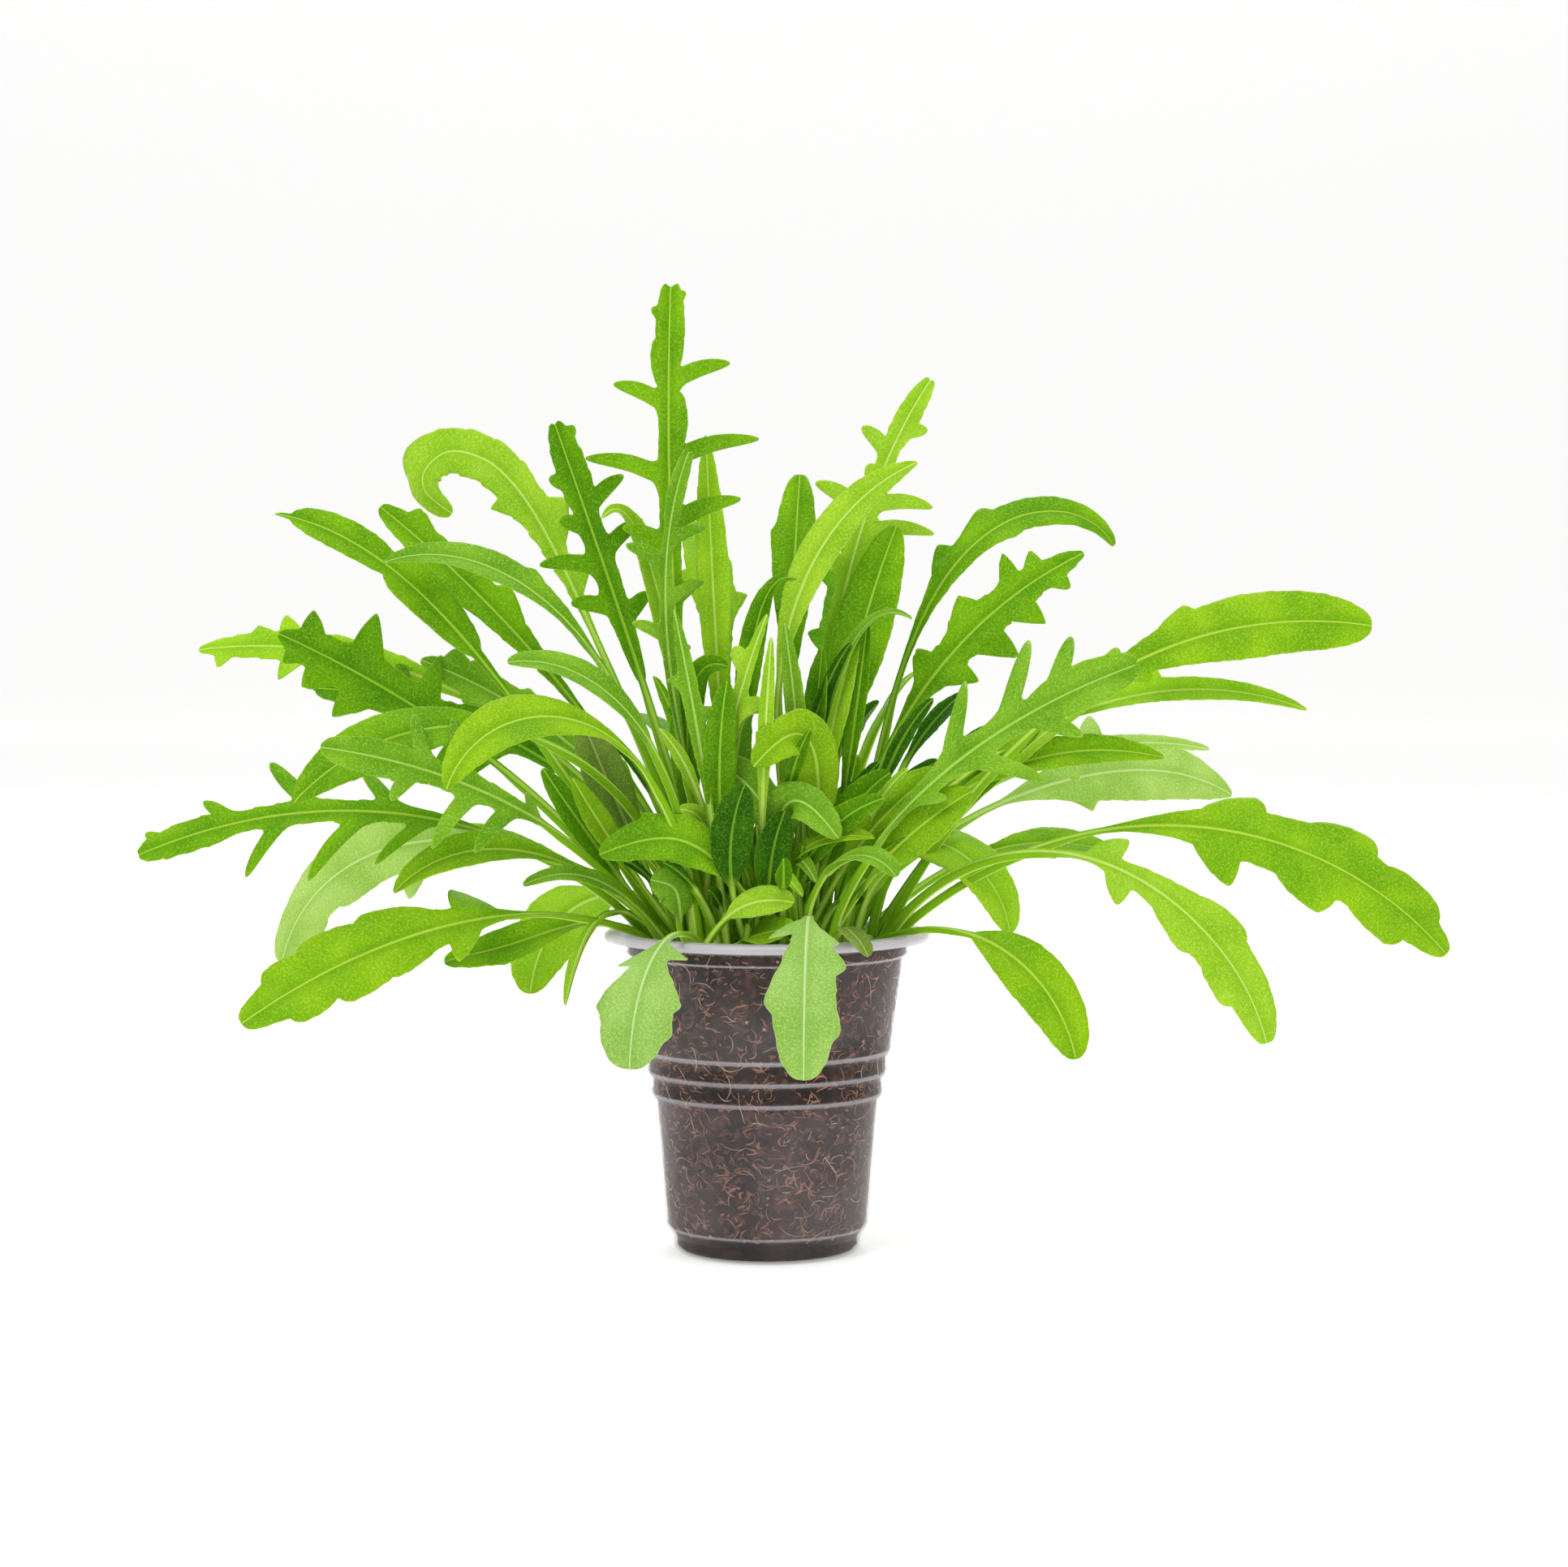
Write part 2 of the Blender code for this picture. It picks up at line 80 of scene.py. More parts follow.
def add(tree, kind, settings=None, *values, **links):
    """One node, as its first output in use. settings sets its properties, values fill the inputs it then
    uses, in order, and links fill inputs by name. Each may be a plain value, a hex colour or an output."""
    node = tree.nodes.new(f"ShaderNode{kind}")
    for key, value in (settings or {}).items():
        setattr(node, key, value)
    wired = list(zip((socket for socket in node.inputs if socket.enabled), values))
    wired += [(node.inputs[key.replace("_", " ")], value) for key, value in links.items()]
    for socket, value in wired:
        if isinstance(value, bpy.types.NodeSocket):
            tree.links.new(value, socket)
        else:
            socket.default_value = (*linear(value), 1.0) if isinstance(value, str) else value
    return next(output for output in node.outputs if output.enabled)


def new_material(name, **constants):
    """A material with one Principled shader whose fixed values sit on its own sockets."""
    made = bpy.data.materials.new(name)
    made.use_nodes = True
    shader = made.node_tree.nodes["Principled BSDF"]
    for key, value in constants.items():
        socket = shader.inputs[key.replace("_", " ")]
        socket.default_value = (*linear(value), 1.0) if isinstance(value, str) else value
    return made, made.node_tree, shader


# ---------------------------------------------------------------- leaf finishes

# Top of the blade in shade and in light, its veins, and its underside.
TINTS = {
    "bright": ("#659a00", "#88b60a", "#bcdc50", "#98bc38"),
    "mid": ("#528a00", "#74a804", "#acd444", "#86ae30"),
    "deep": ("#407800", "#5e9400", "#9ccc34", "#7aa82c"),
    "grey": ("#5a9008", "#7aaa20", "#b2d864", "#8cb450"),
    "light": ("#7eb00c", "#9ac626", "#cae674", "#a6cc5a"),
    "pale": ("#92bc48", "#acd068", "#d8ec9e", "#b2d074"),
    "soft": ("#80ac42", "#96be5c", "#cce29c", "#a6c47c"),
    "olive": ("#667f2a", "#7e963c", "#acc06a", "#8ea24e"),
    "yellow": ("#80b604", "#9aca1c", "#cce66c", "#a8cc44"),
    # shade: a darker copy of these colours for leaves deep inside the plant, standing for the shade there:
    # painted shade.
    "shade": ("#1e4e00", "#326800", "#7aa828", "#4c7c14"),
}


def leaf_finish(name, low, high, vein):
    """Living leaf: a thin waxy skin over green flesh. Light gets through it a little, so it glows softly
    where it is lit, and its fine hairs give it a weak sheen. Veins are paler than the flesh."""
    made, tree, shader = new_material(
        name, Roughness=0.52, IOR=1.42, Subsurface_Weight=0.1, Subsurface_Scale=0.0015,
        Subsurface_Radius=(0.5, 1.0, 0.15), Sheen_Weight=0.02, Sheen_Roughness=0.4, Sheen_Tint="#e6f2c4",
        Specular_IOR_Level=0.09)
    blade = add(tree, "UVMap", {"uv_map": "Blade"})
    across = add(tree, "SeparateXYZ", Vector=blade).node.outputs
    shares = add(tree, "SeparateXYZ", Vector=add(tree, "UVMap", {"uv_map": "Share"})).node.outputs
    spread, along = across["X"], across["Y"]  # in millimetres
    margin, place = shares["X"], shares["Y"]
    # Flesh: soft patches about 14 mm across, and a fine grain of hairs drawn at 0.55 mm so that it shows.
    patches = add(tree, "TexNoise", Vector=blade, Scale=1 / 14.0, Detail=2.0, Roughness=0.5)
    hairs = add(tree, "TexNoise", Vector=blade, Scale=1 / 0.55, Detail=2.0, Roughness=0.75)
    flesh = add(tree, "Mix", COLOURS, add(tree, "MapRange", SMOOTH, patches, 0.30, 0.70), low, high)
    tips = add(tree, "Math", TIMES, add(tree, "MapRange", SMOOTH, hairs, 0.50, 0.68), 0.42)
    flesh = add(tree, "Mix", COLOURS, tips, flesh, vein)
    # Painted shade: the hollows of the hair grain are darker.
    hollow_shade = add(tree, "Math", TIMES, add(tree, "MapRange", SMOOTH, hairs, 0.5, 0.32), 0.30)
    flesh = add(tree, "Mix", COLOURS, hollow_shade, flesh, tuple(0.72 * part for part in linear(low)) + (1.0,))
    # Side veins leave the midrib every 7 mm and lean forward; smaller ones net the flesh every 2 mm.
    wander = add(tree, "Math", TIMES, add(tree, "TexNoise", Vector=blade, Scale=1 / 9.0, Detail=1.0), 6.0)
    lean = add(tree, "Math", MINUS, along, add(tree, "Math", TIMES, spread, 0.9))
    stripe = add(tree, "Math", {"operation": "PINGPONG"}, add(tree, "Math", PLUS, lean, wander), 3.5)
    side = add(tree, "Math", TIMES, add(tree, "MapRange", SMOOTH, stripe, 0.28, 0.05),
               add(tree, "MapRange", SMOOTH, margin, 0.95, 0.5))
    net = add(tree, "TexVoronoi", {"feature": "DISTANCE_TO_EDGE"}, Vector=blade, Scale=1 / 2.0)
    fine = add(tree, "Math", TIMES, add(tree, "MapRange", SMOOTH, net, 0.09, 0.0), 0.12)
    veins = add(tree, "Math", LARGER, add(tree, "Math", TIMES, side, 0.20), fine)
    colour = add(tree, "Mix", COLOURS, veins, flesh, vein)
    # The flesh is darker beside the midrib, painted shade of the crease there, and paler at the margin; the
    # midrib narrows towards the tip.
    midrib_crease_shade = add(tree, "Math", TIMES, add(tree, "MapRange", SMOOTH, spread, 2.4, 0.7), 0.35)
    colour = add(tree, "Mix", COLOURS, midrib_crease_shade, colour, low)
    edge = add(tree, "Math", TIMES, add(tree, "MapRange", SMOOTH, margin, 0.93, 0.99), 0.3)
    colour = add(tree, "Mix", COLOURS, edge, colour, vein)
    narrow = add(tree, "Math", {"operation": "MULTIPLY_ADD"}, place, -0.34, 0.55)
    rib = add(tree, "Math", {"operation": "DIVIDE"}, spread, add(tree, "Math", LARGER, narrow, 0.16))
    rib = add(tree, "Math", TIMES, add(tree, "MapRange", SMOOTH, rib, 0.95, 0.5), 0.8)
    colour = add(tree, "Mix", COLOURS, rib, colour, vein)
    # Stalks are paler along their middle and darker towards the soil.
    middle = add(tree, "MapRange", SMOOTH, margin, 0.8, 0.3)
    deep_down = add(tree, "Math", TIMES, add(tree, "MapRange", SMOOTH, place, -0.35, -1.0), 0.25)
    stalk_colour = add(tree, "Mix", COLOURS, middle, "#7cb010", "#bede60")
    stalk_colour = add(tree, "Mix", COLOURS, deep_down, stalk_colour, "#568a06")
    stalk = add(tree, "Math", TIMES, add(tree, "MapRange", SMOOTH, place, 0.12, -0.12), 0.92)
    colour = add(tree, "Mix", COLOURS, stalk, colour, stalk_colour)
    tree.links.new(colour, shader.inputs["Base Color"])
    sunk = add(tree, "Math", LARGER, add(tree, "Math", TIMES, side, 0.7), add(tree, "Math", TIMES, fine, 1.4))
    grain = add(tree, "Math", MINUS, add(tree, "Math", TIMES, hairs, 0.6), sunk)
    tree.links.new(add(tree, "Bump", Strength=0.5, Distance=0.0003, Height=grain), shader.inputs["Normal"])
    return made


def leaf_finishes():
    """For each tint, the finish of a blade and its stalk, and that of its underside."""
    made = {}
    for tint, (low, high, vein, under) in TINTS.items():
        made[tint] = (leaf_finish(f"leaf_flesh_{tint}", low, high, vein),
                      leaf_finish(f"leaf_underside_{tint}", under, under, vein))
    return made


# ---------------------------------------------------------------- leaf shapes

# One leaf's look. Its lobes and teeth are (how far back from the tip, side, reach from the midrib, half
# of its base), in millimetres.
Look = namedtuple("Look", "shape width tint lobes teeth wave fold")
# peak: where the blade is widest; start, end: how round its two ends are, less for rounder; neck: the share
# at its base that stays narrow; sweep, hook: how far lobes lean forward, and how soon they turn outwards;
# full: 1 for a pointed lobe, less for a rounder one; skew: a steeper front edge.
Shape = namedtuple("Shape", "peak start end neck sweep hook full skew")
SHAPES = {
    "spoon": Shape(1.6, 1.0, 0.38, 0.10, 0.20, 8, 0.9, 0.5),
    "lance": Shape(1.2, 1.0, 0.65, 0.08, 0.25, 8, 1.0, 0.3),
    "oval": Shape(1.05, 0.7, 0.45, 0.02, 0.20, 8, 1.0, 0.3),
    "oak": Shape(1.2, 0.9, 0.45, 0.04, 0.30, 12, 0.85, 0.35),
    "broad": Shape(1.35, 0.9, 0.36, 0.06, 0.20, 9, 0.62, 0.5),
    "finger": Shape(1.1, 0.5, 0.4, 0.03, 0.70, 7, 0.55, 0.0),
    "forked": Shape(1.1, 0.5, 0.4, 0.03, 0.95, 26, 0.55, 0.0),
}
L, R = LEFT, RIGHT
LOOKS = {
    "low_left_broad": Look("broad", 13.5, "bright", [
        (56, R, 12, 5), (53, L, 9, 4), (36, R, 8.8, 9), (22, R, 9, 8), (11, R, 7.6, 5), (38, L, 8, 6),
        (26, L, 9, 8), (13, L, 8, 6)
    ], 0.4, 0.8, 0.05),
    "low_left_small": Look("oval", 10.5, "bright", [(14, L, 5.9, 3)], 0.5, 0.5, 0.1),
    "far_left_fingered": Look("forked", 5.2, "mid", [
        (12, L, 3.8, 12), (12, R, 3.6, 12), (22, R, 7.5, 2.2), (6, R, 4.2, 2), (34, L, 13.5, 2.6),
        (41, R, 14, 2.6), (53, L, 17, 2.8), (60, R, 13, 2.6), (68, L, 13, 2.6)
    ], 0.9, 0.8, 0.06),
    "front_left_fingered": Look("finger", 6, "grey", [
        (12, L, 4.2, 12), (12, R, 4, 12), (21, L, 9, 2.2), (24, R, 13, 2.2), (33.5, R, 17, 2.4),
        (36, L, 16, 2.5), (46, L, 14, 2.4), (52, R, 6, 2.2)
    ], 0.7, 0.6, 0.06),
    "left_oak": Look("oak", 10.5, "deep", [
        (6, R, 8.5, 3), (19, R, 15, 4), (36, R, 14.5, 3.2), (5, L, 6, 2.5), (12, L, 9, 4),
        (22, L, 11.5, 4.2), (37, L, 12, 4.4), (49, L, 8.5, 3), (50, R, 6.4, 2.4)
    ], 0.9, 0.9, 0.06),
    "left_arching": Look("lance", 14, "mid", [], 0.4, 0.7, 0.10),
    "left_twisting": Look("lance", 4.6, "mid", [
        (13, L, 4.2, 13), (13, R, 4.2, 13), (39, L, 5.6, 14), (39, R, 6, 14)
    ], 0.4, 1.0, 0.16),
    "left_curving": Look("lance", 9.5, "bright", [], 0.4, 0.6, 0.2),
    "back_left_drooping": Look("broad", 16, "pale", [
        (13, L, 9.5, 4), (47, L, 13, 4.5), (30, R, 9.5, 6), (28, L, 9.5, 7)
    ], 0.4, 1.0, 0.04),
    "back_left_bright": Look("oak", 8, "yellow", [
        (6, L, 5, 2.5), (15, R, 5.2, 3), (22, R, 8, 3), (24, L, 9, 3)
    ], 1.0, 0.9, 0.12),
    "left_spatulate": Look("spoon", 9, "mid", [
        (8, R, 6, 4), (36, R, 7, 6), (22, R, 5.4, 6), (27, L, 5.8, 5)
    ], 0.5, 0.6, 0.08),
    "left_curled": Look("spoon", 11, "light", [
        (50, R, 8.8, 6), (64, R, 7, 5), (42, L, 7.6, 4), (14, R, 8.6, 5), (8, L, 7, 4)
    ], 1.2, 1.5, 0.06),
    "back_left_fingered": Look("finger", 5, "deep", [
        (12, L, 4, 11), (12, R, 4, 11), (22, R, 10, 2.6), (32, L, 13, 2.6), (40, R, 13, 2.6),
        (50, L, 13, 2.6)
    ], 0.6, 0.7, 0.1),
    "back_left_hanging": Look("oval", 17, "yellow", [], 0.5, 0.8, 0.03),
    "left_fingered_tall": Look("finger", 5.4, "deep", [
        (10, L, 3.4, 11), (10, R, 3.8, 11), (4, R, 4.2, 2), (14, L, 5.6, 2.2), (20, R, 11, 2.2),
        (24, L, 6.4, 2.4), (31, R, 12, 2.2), (34, L, 14, 2.2), (44, L, 10, 2.4), (47, R, 8, 2.4)
    ], 0.6, 0.6, 0.08),
    "tallest": Look("finger", 4.6, "mid", [
        (8, L, 3.1, 11), (8, R, 3.4, 11), (3, R, 3.6, 1.8), (7, L, 4.3, 1.8), (21, R, 14.5, 2.2),
        (26, L, 12.5, 2.2), (39, R, 21.5, 2.2), (43, L, 19, 2.2), (53, R, 16.5, 2.3), (58, L, 11, 2.2),
        (70, R, 6, 2.2), (17, L, 4.2, 6), (31, R, 4.4, 7)
    ], 0.3, 0.5, 0.06),
    "slim_fingered": Look("finger", 2.8, "grey", [
        (8, L, 2.2, 10), (8, R, 2.2, 10), (20, R, 9.5, 1.9), (26, L, 10, 1.9), (34, R, 11.5, 1.9),
        (42, L, 8.5, 1.8), (48, R, 6, 1.8)
    ], 0.3, 0.5, 0.08),
    "back_upright": Look("lance", 7.5, "yellow", [], 0.3, 0.5, 0.2),
    "mid_left_arching": Look("lance", 9.5, "grey", [(34, R, 5.5, 3)], 0.3, 0.6, 0.2),
    "left_toothed": Look("oak", 8, "grey", [
        (7, R, 5.6, 3.4), (13, R, 6, 4), (26, R, 5.4, 4), (14, L, 5.4, 4)
    ], 0.8, 0.7, 0.1),
    "back_leaning": Look("spoon", 11, "bright", [(24, L, 8, 4), (32, R, 8, 4)], 0.8, 0.8, 0.12),
    "mid_smooth": Look("spoon", 10, "mid", [(14, L, 5.8, 5)], 0.4, 0.4, 0.12),
    "mid_leaning": Look("lance", 9.5, "light", [], 0.3, 0.5, 0.14),
    "right_fingered_tall": Look("finger", 4.6, "light", [
        (9, L, 2.8, 10), (9, R, 2.8, 10), (14, R, 5.6, 2.2), (20, L, 9, 2.2), (27, L, 4, 2.2),
        (33, R, 14, 2.2), (36, L, 14, 2.4), (40, R, 16.5, 2.2), (50, L, 9, 2.4), (56, R, 10, 2.4)
    ], 0.4, 0.6, 0.08),
    "right_oval": Look("oval", 13, "mid", [], 0.3, 0.4, 0.06),
    "mid_dark": Look("lance", 8, "deep", [], 0.3, 0.4, 0.12),
    "back_right_upright": Look("oak", 9, "deep", [
        (22, L, 9, 4), (30, R, 9, 4), (42, L, 7, 3)
    ], 0.8, 0.7, 0.1),
    "front_left_arching": Look("lance", 13, "bright", [], 0.4, 0.5, 0.10),
    "front_left_over_rim": Look("spoon", 16, "soft", [
        (28, L, 8, 3), (26, R, 8, 3.4), (15, L, 10, 5), (8, L, 9, 4), (14, R, 9.6, 5)
    ], 0.7, 0.6, 0.03),
    "front_pale_small": Look("oval", 7, "bright", [], 0.3, 0.4, 0.2),
    "front_left_small": Look("oval", 9, "grey", [], 0.3, 0.4, 0.06),
    "left_grey": Look("oval", 9, "grey", [], 0.4, 0.5, 0.15),
    "front_over_rim": Look("spoon", 13.5, "soft", [
        (38, R, 8.6, 4), (26, L, 8.8, 6), (17, R, 8.6, 6), (10, L, 7.6, 4), (33, L, 7, 4)
    ], 0.8, 0.7, 0.03),
    "front_olive_small": Look("oval", 6.5, "olive", [], 0.2, 0.3, 0.05),
    "front_grey_small": Look("oval", 8, "grey", [], 0.3, 0.5, 0.15),
    "right_oak": Look("forked", 6.2, "grey", [
        (12, L, 5, 13), (12, R, 5.2, 13), (18, L, 12, 2.8), (6, L, 5.4, 2.4), (30, L, 18, 2.9),
        (24, R, 10.5, 3.0), (45, L, 17, 2.9), (41, R, 16, 3.0), (56, R, 6, 2.6)
    ], 0.5, 0.8, 0.06),
    "right_front_short": Look("oval", 11, "bright", [], 0.5, 0.6, 0.1),
    "front_left_broad": Look("oval", 11, "mid", [(12, R, 6.6, 3), (20, R, 6.6, 4)], 0.5, 0.5, 0.06),
    "front_centre": Look("oval", 10, "grey", [], 0.4, 0.5, 0.1),
    "right_long": Look("spoon", 16.5, "bright", [(42, L, 9, 5), (56, R, 6, 4)], 0.4, 0.8, 0.03),
    "right_broad": Look("broad", 15.5, "bright", [
        (54, L, 10.5, 7), (57, R, 12.6, 6), (29, L, 12.4, 8), (33, R, 12.6, 8), (10, L, 9.4, 8),
        (14, R, 10.4, 8)
    ], 0.4, 0.8, 0.03),
    "right_hanging": Look("broad", 13, "light", [
        (56, L, 9.6, 4), (50, R, 8.8, 4), (31, R, 8.2, 7), (14, R, 7.8, 6), (25, L, 8.6, 7)
    ], 0.4, 0.9, 0.05),
    "right_spoon": Look("oval", 14.5, "bright", [], 0.4, 0.6, 0.05),
    "right_level": Look("lance", 8.5, "bright", [], 0.6, 0.6, 0.15),
    "right_pale_arching": Look("lance", 6.5, "yellow", [(37, L, 8, 3.5)], 0.3, 0.8, 0.15),
    "right_arching": Look("spoon", 9.5, "mid", [
        (33, L, 7.2, 5), (45, L, 7, 4.5), (30, R, 5.6, 5)
    ], 0.4, 0.8, 0.10),
    "right_serrated": Look("oak", 8, "mid", [
        (11, L, 6.6, 2.4), (17, L, 9.8, 2.6), (30, L, 8.2, 5), (8, R, 6, 2.6), (19, R, 9.6, 4),
        (30, R, 11.5, 4.6), (42, R, 9, 4), (45, L, 7, 4)
    ], 1.2, 0.8, 0.05),
    "back_right_grey": Look("oak", 5, "pale", [(30, L, 9.5, 3.5), (40, R, 8.5, 4)], 0.5, 0.9, 0.1),
    "back_right_pale": Look("lance", 16, "pale", [(48, R, 9, 4)], 0.5, 0.9, 0.08),
    "back_right_hanging": Look("oval", 15, "yellow", [(18, L, 8.4, 4)], 0.4, 0.8, 0.04),
}

# How some leaves leave the frame's path: turned about their midribs, in degrees at the tip, tips moved, in
# millimetres, and tips carried on by some millimetres as they curl on by some degrees.
TURNS = {"back_left_hanging": 55, "left_arching": -20, "back_left_drooping": -20, "front_left_small": -20,
         "back_right_pale": 30}
NUDGES = {"front_left_broad": (8, 0, 9), "front_left_small": (7, 0, 7), "low_left_small": (0, -2, -7),
          "back_right_hanging": (-10, 0, 3), "right_hanging": (-4, 0, -3), "right_long": (0, 0, 3),
          "front_olive_small": (-4, 0, 0), "back_right_pale": (6, 0, -3)}
CURLS = {"left_curled": (7, 15)}

# Smaller leaves with a place of their own: base, bend and tip of the midrib, the way the blade faces, and
# look.
Small = namedtuple("Small", "name base bend tip face look")
SMALLS = [
    Small("stem", (-15, -14, 70), (-12, -15, 118), (0, -14, 147), (-0.3, -1, 0.1),
          Look("finger", 3.4, "light", [
              (12, L, 5, 2.6), (22, R, 6.5, 2.6), (36, L, 5, 2.4), (44, R, 3.4, 2.4)
          ], 0.2, 0.3, 0.1)),
    Small("nodding", (8, -8, 71), (19, -14, 139), (-3, -22, 113), (0.1, -1, 0.35),
          Look("oval", 10.5, "bright", [(6, R, 5, 2.2), (14, R, 6, 3)], 0.4, 0.5, 0.05)),
    Small("nodding_low", (2, -12, 71), (-2, -15, 122), (16, -24, 97), (0.2, -1, 0.3),
          Look("oval", 9, "grey", [], 0.4, 0.5, 0.05)),
    Small("front_pale_wide", (-15, -23, 71), (-8, -26, 86), (6, -28, 83), (0, -0.8, 0.8),
          Look("oval", 8.5, "light", [], 0.3, 0.5, 0.08)),
    # The two dark round leaves low in the middle take the shade tint: painted shade.
    Small("dark_round", (-4, -20, 71), (-12, -22, 92), (-5, -23, 109), (0, -1, 0.2),
          Look("oval", 9.5, "shade", [], 0.3, 0.4, 0.1)),
    Small("dark_round_right", (2, -18, 71), (-2, -20, 88), (4, -21, 103), (0.2, -1, 0.2),
          Look("oval", 8, "shade", [], 0.3, 0.4, 0.1)),
    Small("upright_oval_left", (-8, -14, 71), (-13, -16, 110), (-9, -17, 132), (0.1, -1, 0.2),
          Look("oval", 7.5, "deep", [], 0.3, 0.4, 0.1)),
    Small("bright_stalk_left", (-9, -17, 70), (-12, -18, 105), (-21, -12, 148), (0, -1, 0.2),
          Look("lance", 4, "grey", [(16, L, 5, 2), (24, R, 5, 2)], 0.2, 0.3, 0.1)),
    Small("bright_stalk_mid", (-1, -19, 70), (-2, -20, 105), (1, -18, 142), (0, -1, 0.2),
          Look("lance", 3.4, "light", [], 0.2, 0.3, 0.1)),
    Small("narrow_pale", (9, -9, 71), (9, -8, 110), (4, -11, 145), (0.2, -1, 0.1),
          Look("lance", 4.6, "grey", [], 0.2, 0.3, 0.2)),
    Small("upright_yellow", (8, -2, 71), (11, -2, 112), (21, -3, 144), (-0.2, -1, 0.2),
          Look("lance", 6, "yellow", [], 0.2, 0.3, 0.2)),
    Small("upright_dark", (12, 0, 71), (19, -2, 110), (23, -4, 146), (-0.4, -1, 0.1),
          Look("lance", 4.6, "deep", [], 0.3, 0.3, 0.2)),
    Small("short_pale", (9, -12, 71), (4, -14, 101), (11, -22, 87), (0.2, -1, 0.3),
          Look("oval", 3.6, "grey", [], 0.1, 0.3, 0.2)),
    Small("edge_on", (9, -15, 71), (-3, -16, 98), (8, -23, 84), (0.4, -1, 0.6),
          Look("oval", 3.4, "yellow", [], 0.1, 0.2, 0.2)),
    Small("right_blade", (8, -10, 71), (20, -14, 100), (39, -18, 112), (0, -1, 0.55),
          Look("oval", 9.5, "bright", [], 0.4, 0.4, 0.1)),
    Small("right_shaded", (8, -6, 71), (14, -8, 102), (28, -10, 111), (0.1, -1, 0.4),
          Look("oval", 8.5, "deep", [], 0.3, 0.4, 0.1)),
    Small("right_bow", (-2, -10, 71), (2, -16, 101), (24, -22, 97), (0, -0.6, 1),
          Look("lance", 6, "bright", [], 0.2, 0.3, 0.2)),
    Small("right_low", (12, -12, 71), (22, -18, 100), (36, -20, 99), (0, -0.8, 1),
          Look("oval", 6.5, "deep", [], 0.3, 0.3, 0.15)),
    Small("left_arch", (-14, 4, 71), (-25, 0, 142), (-9, -4, 135), (-0.4, -1, 0.5),
          Look("oval", 8, "deep", [], 0.3, 0.4, 0.15)),
    Small("left_lobed", (-16, -2, 71), (-19, -4, 104), (-18, -6, 131), (0, -1, 0.1),
          Look("oak", 6, "deep", [(6, L, 4.6, 2), (10, R, 4.6, 2.4)], 0.3, 0.3, 0.1)),
    Small("mid_drooping", (-4, 2, 71), (-12, -4, 134), (1, -9, 124), (0.1, -0.8, 0.8),
          Look("oval", 6, "grey", [], 0.2, 0.3, 0.15)),
    Small("olive", (-20, 6, 71), (-32, 2, 96), (-43, 0, 124), (0.1, -1, 0.3),
          Look("oval", 10, "olive", [], 0.5, 0.6, 0.05)),
    Small("young_left", (-10, -8, 71), (-10, -12, 104), (-20, -17, 103), (0, -1, 0.5),
          Look("oval", 5.6, "light", [], 0.1, 0.3, 0.1)),
    Small("left_slip", (-18, -8, 71), (-34, -12, 92), (-44, -14, 110), (0.1, -1, 0.3),
          Look("lance", 6, "bright", [], 0.2, 0.3, 0.15)),
    Small("left_slip_dark", (-22, -4, 71), (-38, -8, 92), (-51, -10, 112), (0.1, -1, 0.3),
          Look("oval", 6, "deep", [], 0.3, 0.3, 0.15)),
    Small("left_low_grey", (-22, -9, 71), (-38, -14, 95), (-55, -18, 86), (0, -0.7, 1),
          Look("oval", 6, "grey", [], 0.3, 0.4, 0.1)),
    Small("behind_oak", (20, 8, 71), (36, 10, 104), (63, 8, 124), (0, -1, 0.4),
          Look("spoon", 10, "bright", [], 0.4, 0.4, 0.1)),
    Small("arch_grey", (4, 2, 71), (14, -4, 158), (33, -8, 146), (-0.2, -0.5, 1),
          Look("lance", 5, "grey", [], 0.2, 0.5, 0.2)),
    Small("arch_left", (-12, 8, 71), (-26, 6, 186), (-38, 4, 169), (0.2, -0.7, 0.7),
          Look("lance", 7, "light", [], 0.3, 0.4, 0.2)),
    Small("arch_small", (-6, 6, 71), (-8, 4, 162), (7, -2, 155), (0, -0.7, 0.8),
          Look("lance", 6, "deep", [], 0.2, 0.4, 0.2)),
    Small("low_cross", (2, -12, 71), (8, -15, 100), (26, -24, 106), (0, -1, 0.5),
          Look("oval", 6.5, "deep", [], 0.3, 0.4, 0.1)),
    Small("back_edge", (24, 4, 71), (48, 6, 112), (78, 8, 128), (0.1, -0.6, 1),
          Look("lance", 6, "light", [], 0.4, 0.6, 0.15)),
    Small("narrow_hanging", (-24, -2, 71), (-40, -6, 92), (-46, -12, 58), (-1, -0.6, 0.3),
          Look("lance", 4.5, "light", [], 0.1, 0.3, 0.25)),
    Small("back_low_left", (-20, 14, 71), (-50, 34, 96), (-84, 44, 92), (0, -0.7, 1),
          Look("spoon", 11, "bright", [(20, L, 7, 4)], 0.6, 0.6, 0.12)),
    Small("back_low_right", (22, 14, 71), (52, 36, 100), (86, 48, 88), (0, -0.7, 1),
          Look("spoon", 12, "bright", [(22, R, 8, 4)], 0.6, 0.6, 0.12)),
    Small("back_low", (2, 24, 71), (6, 48, 108), (10, 72, 96), (0, 0.6, 1),
          Look("spoon", 12, "bright", [(22, R, 8, 4)], 0.6, 0.6, 0.12)),
    Small("back_mid_left", (-10, 22, 71), (-20, 44, 124), (-34, 66, 122), (0, 0.6, 1),
          Look("oak", 11, "deep", [(14, L, 8, 3), (24, R, 9, 3)], 0.6, 0.6, 0.12)),
    Small("back_mid_right", (12, 22, 71), (24, 42, 130), (40, 60, 134), (0, 0.6, 1),
          Look("oak", 11, "bright", [(14, R, 8, 3), (24, L, 9, 3)], 0.6, 0.6, 0.12)),
]


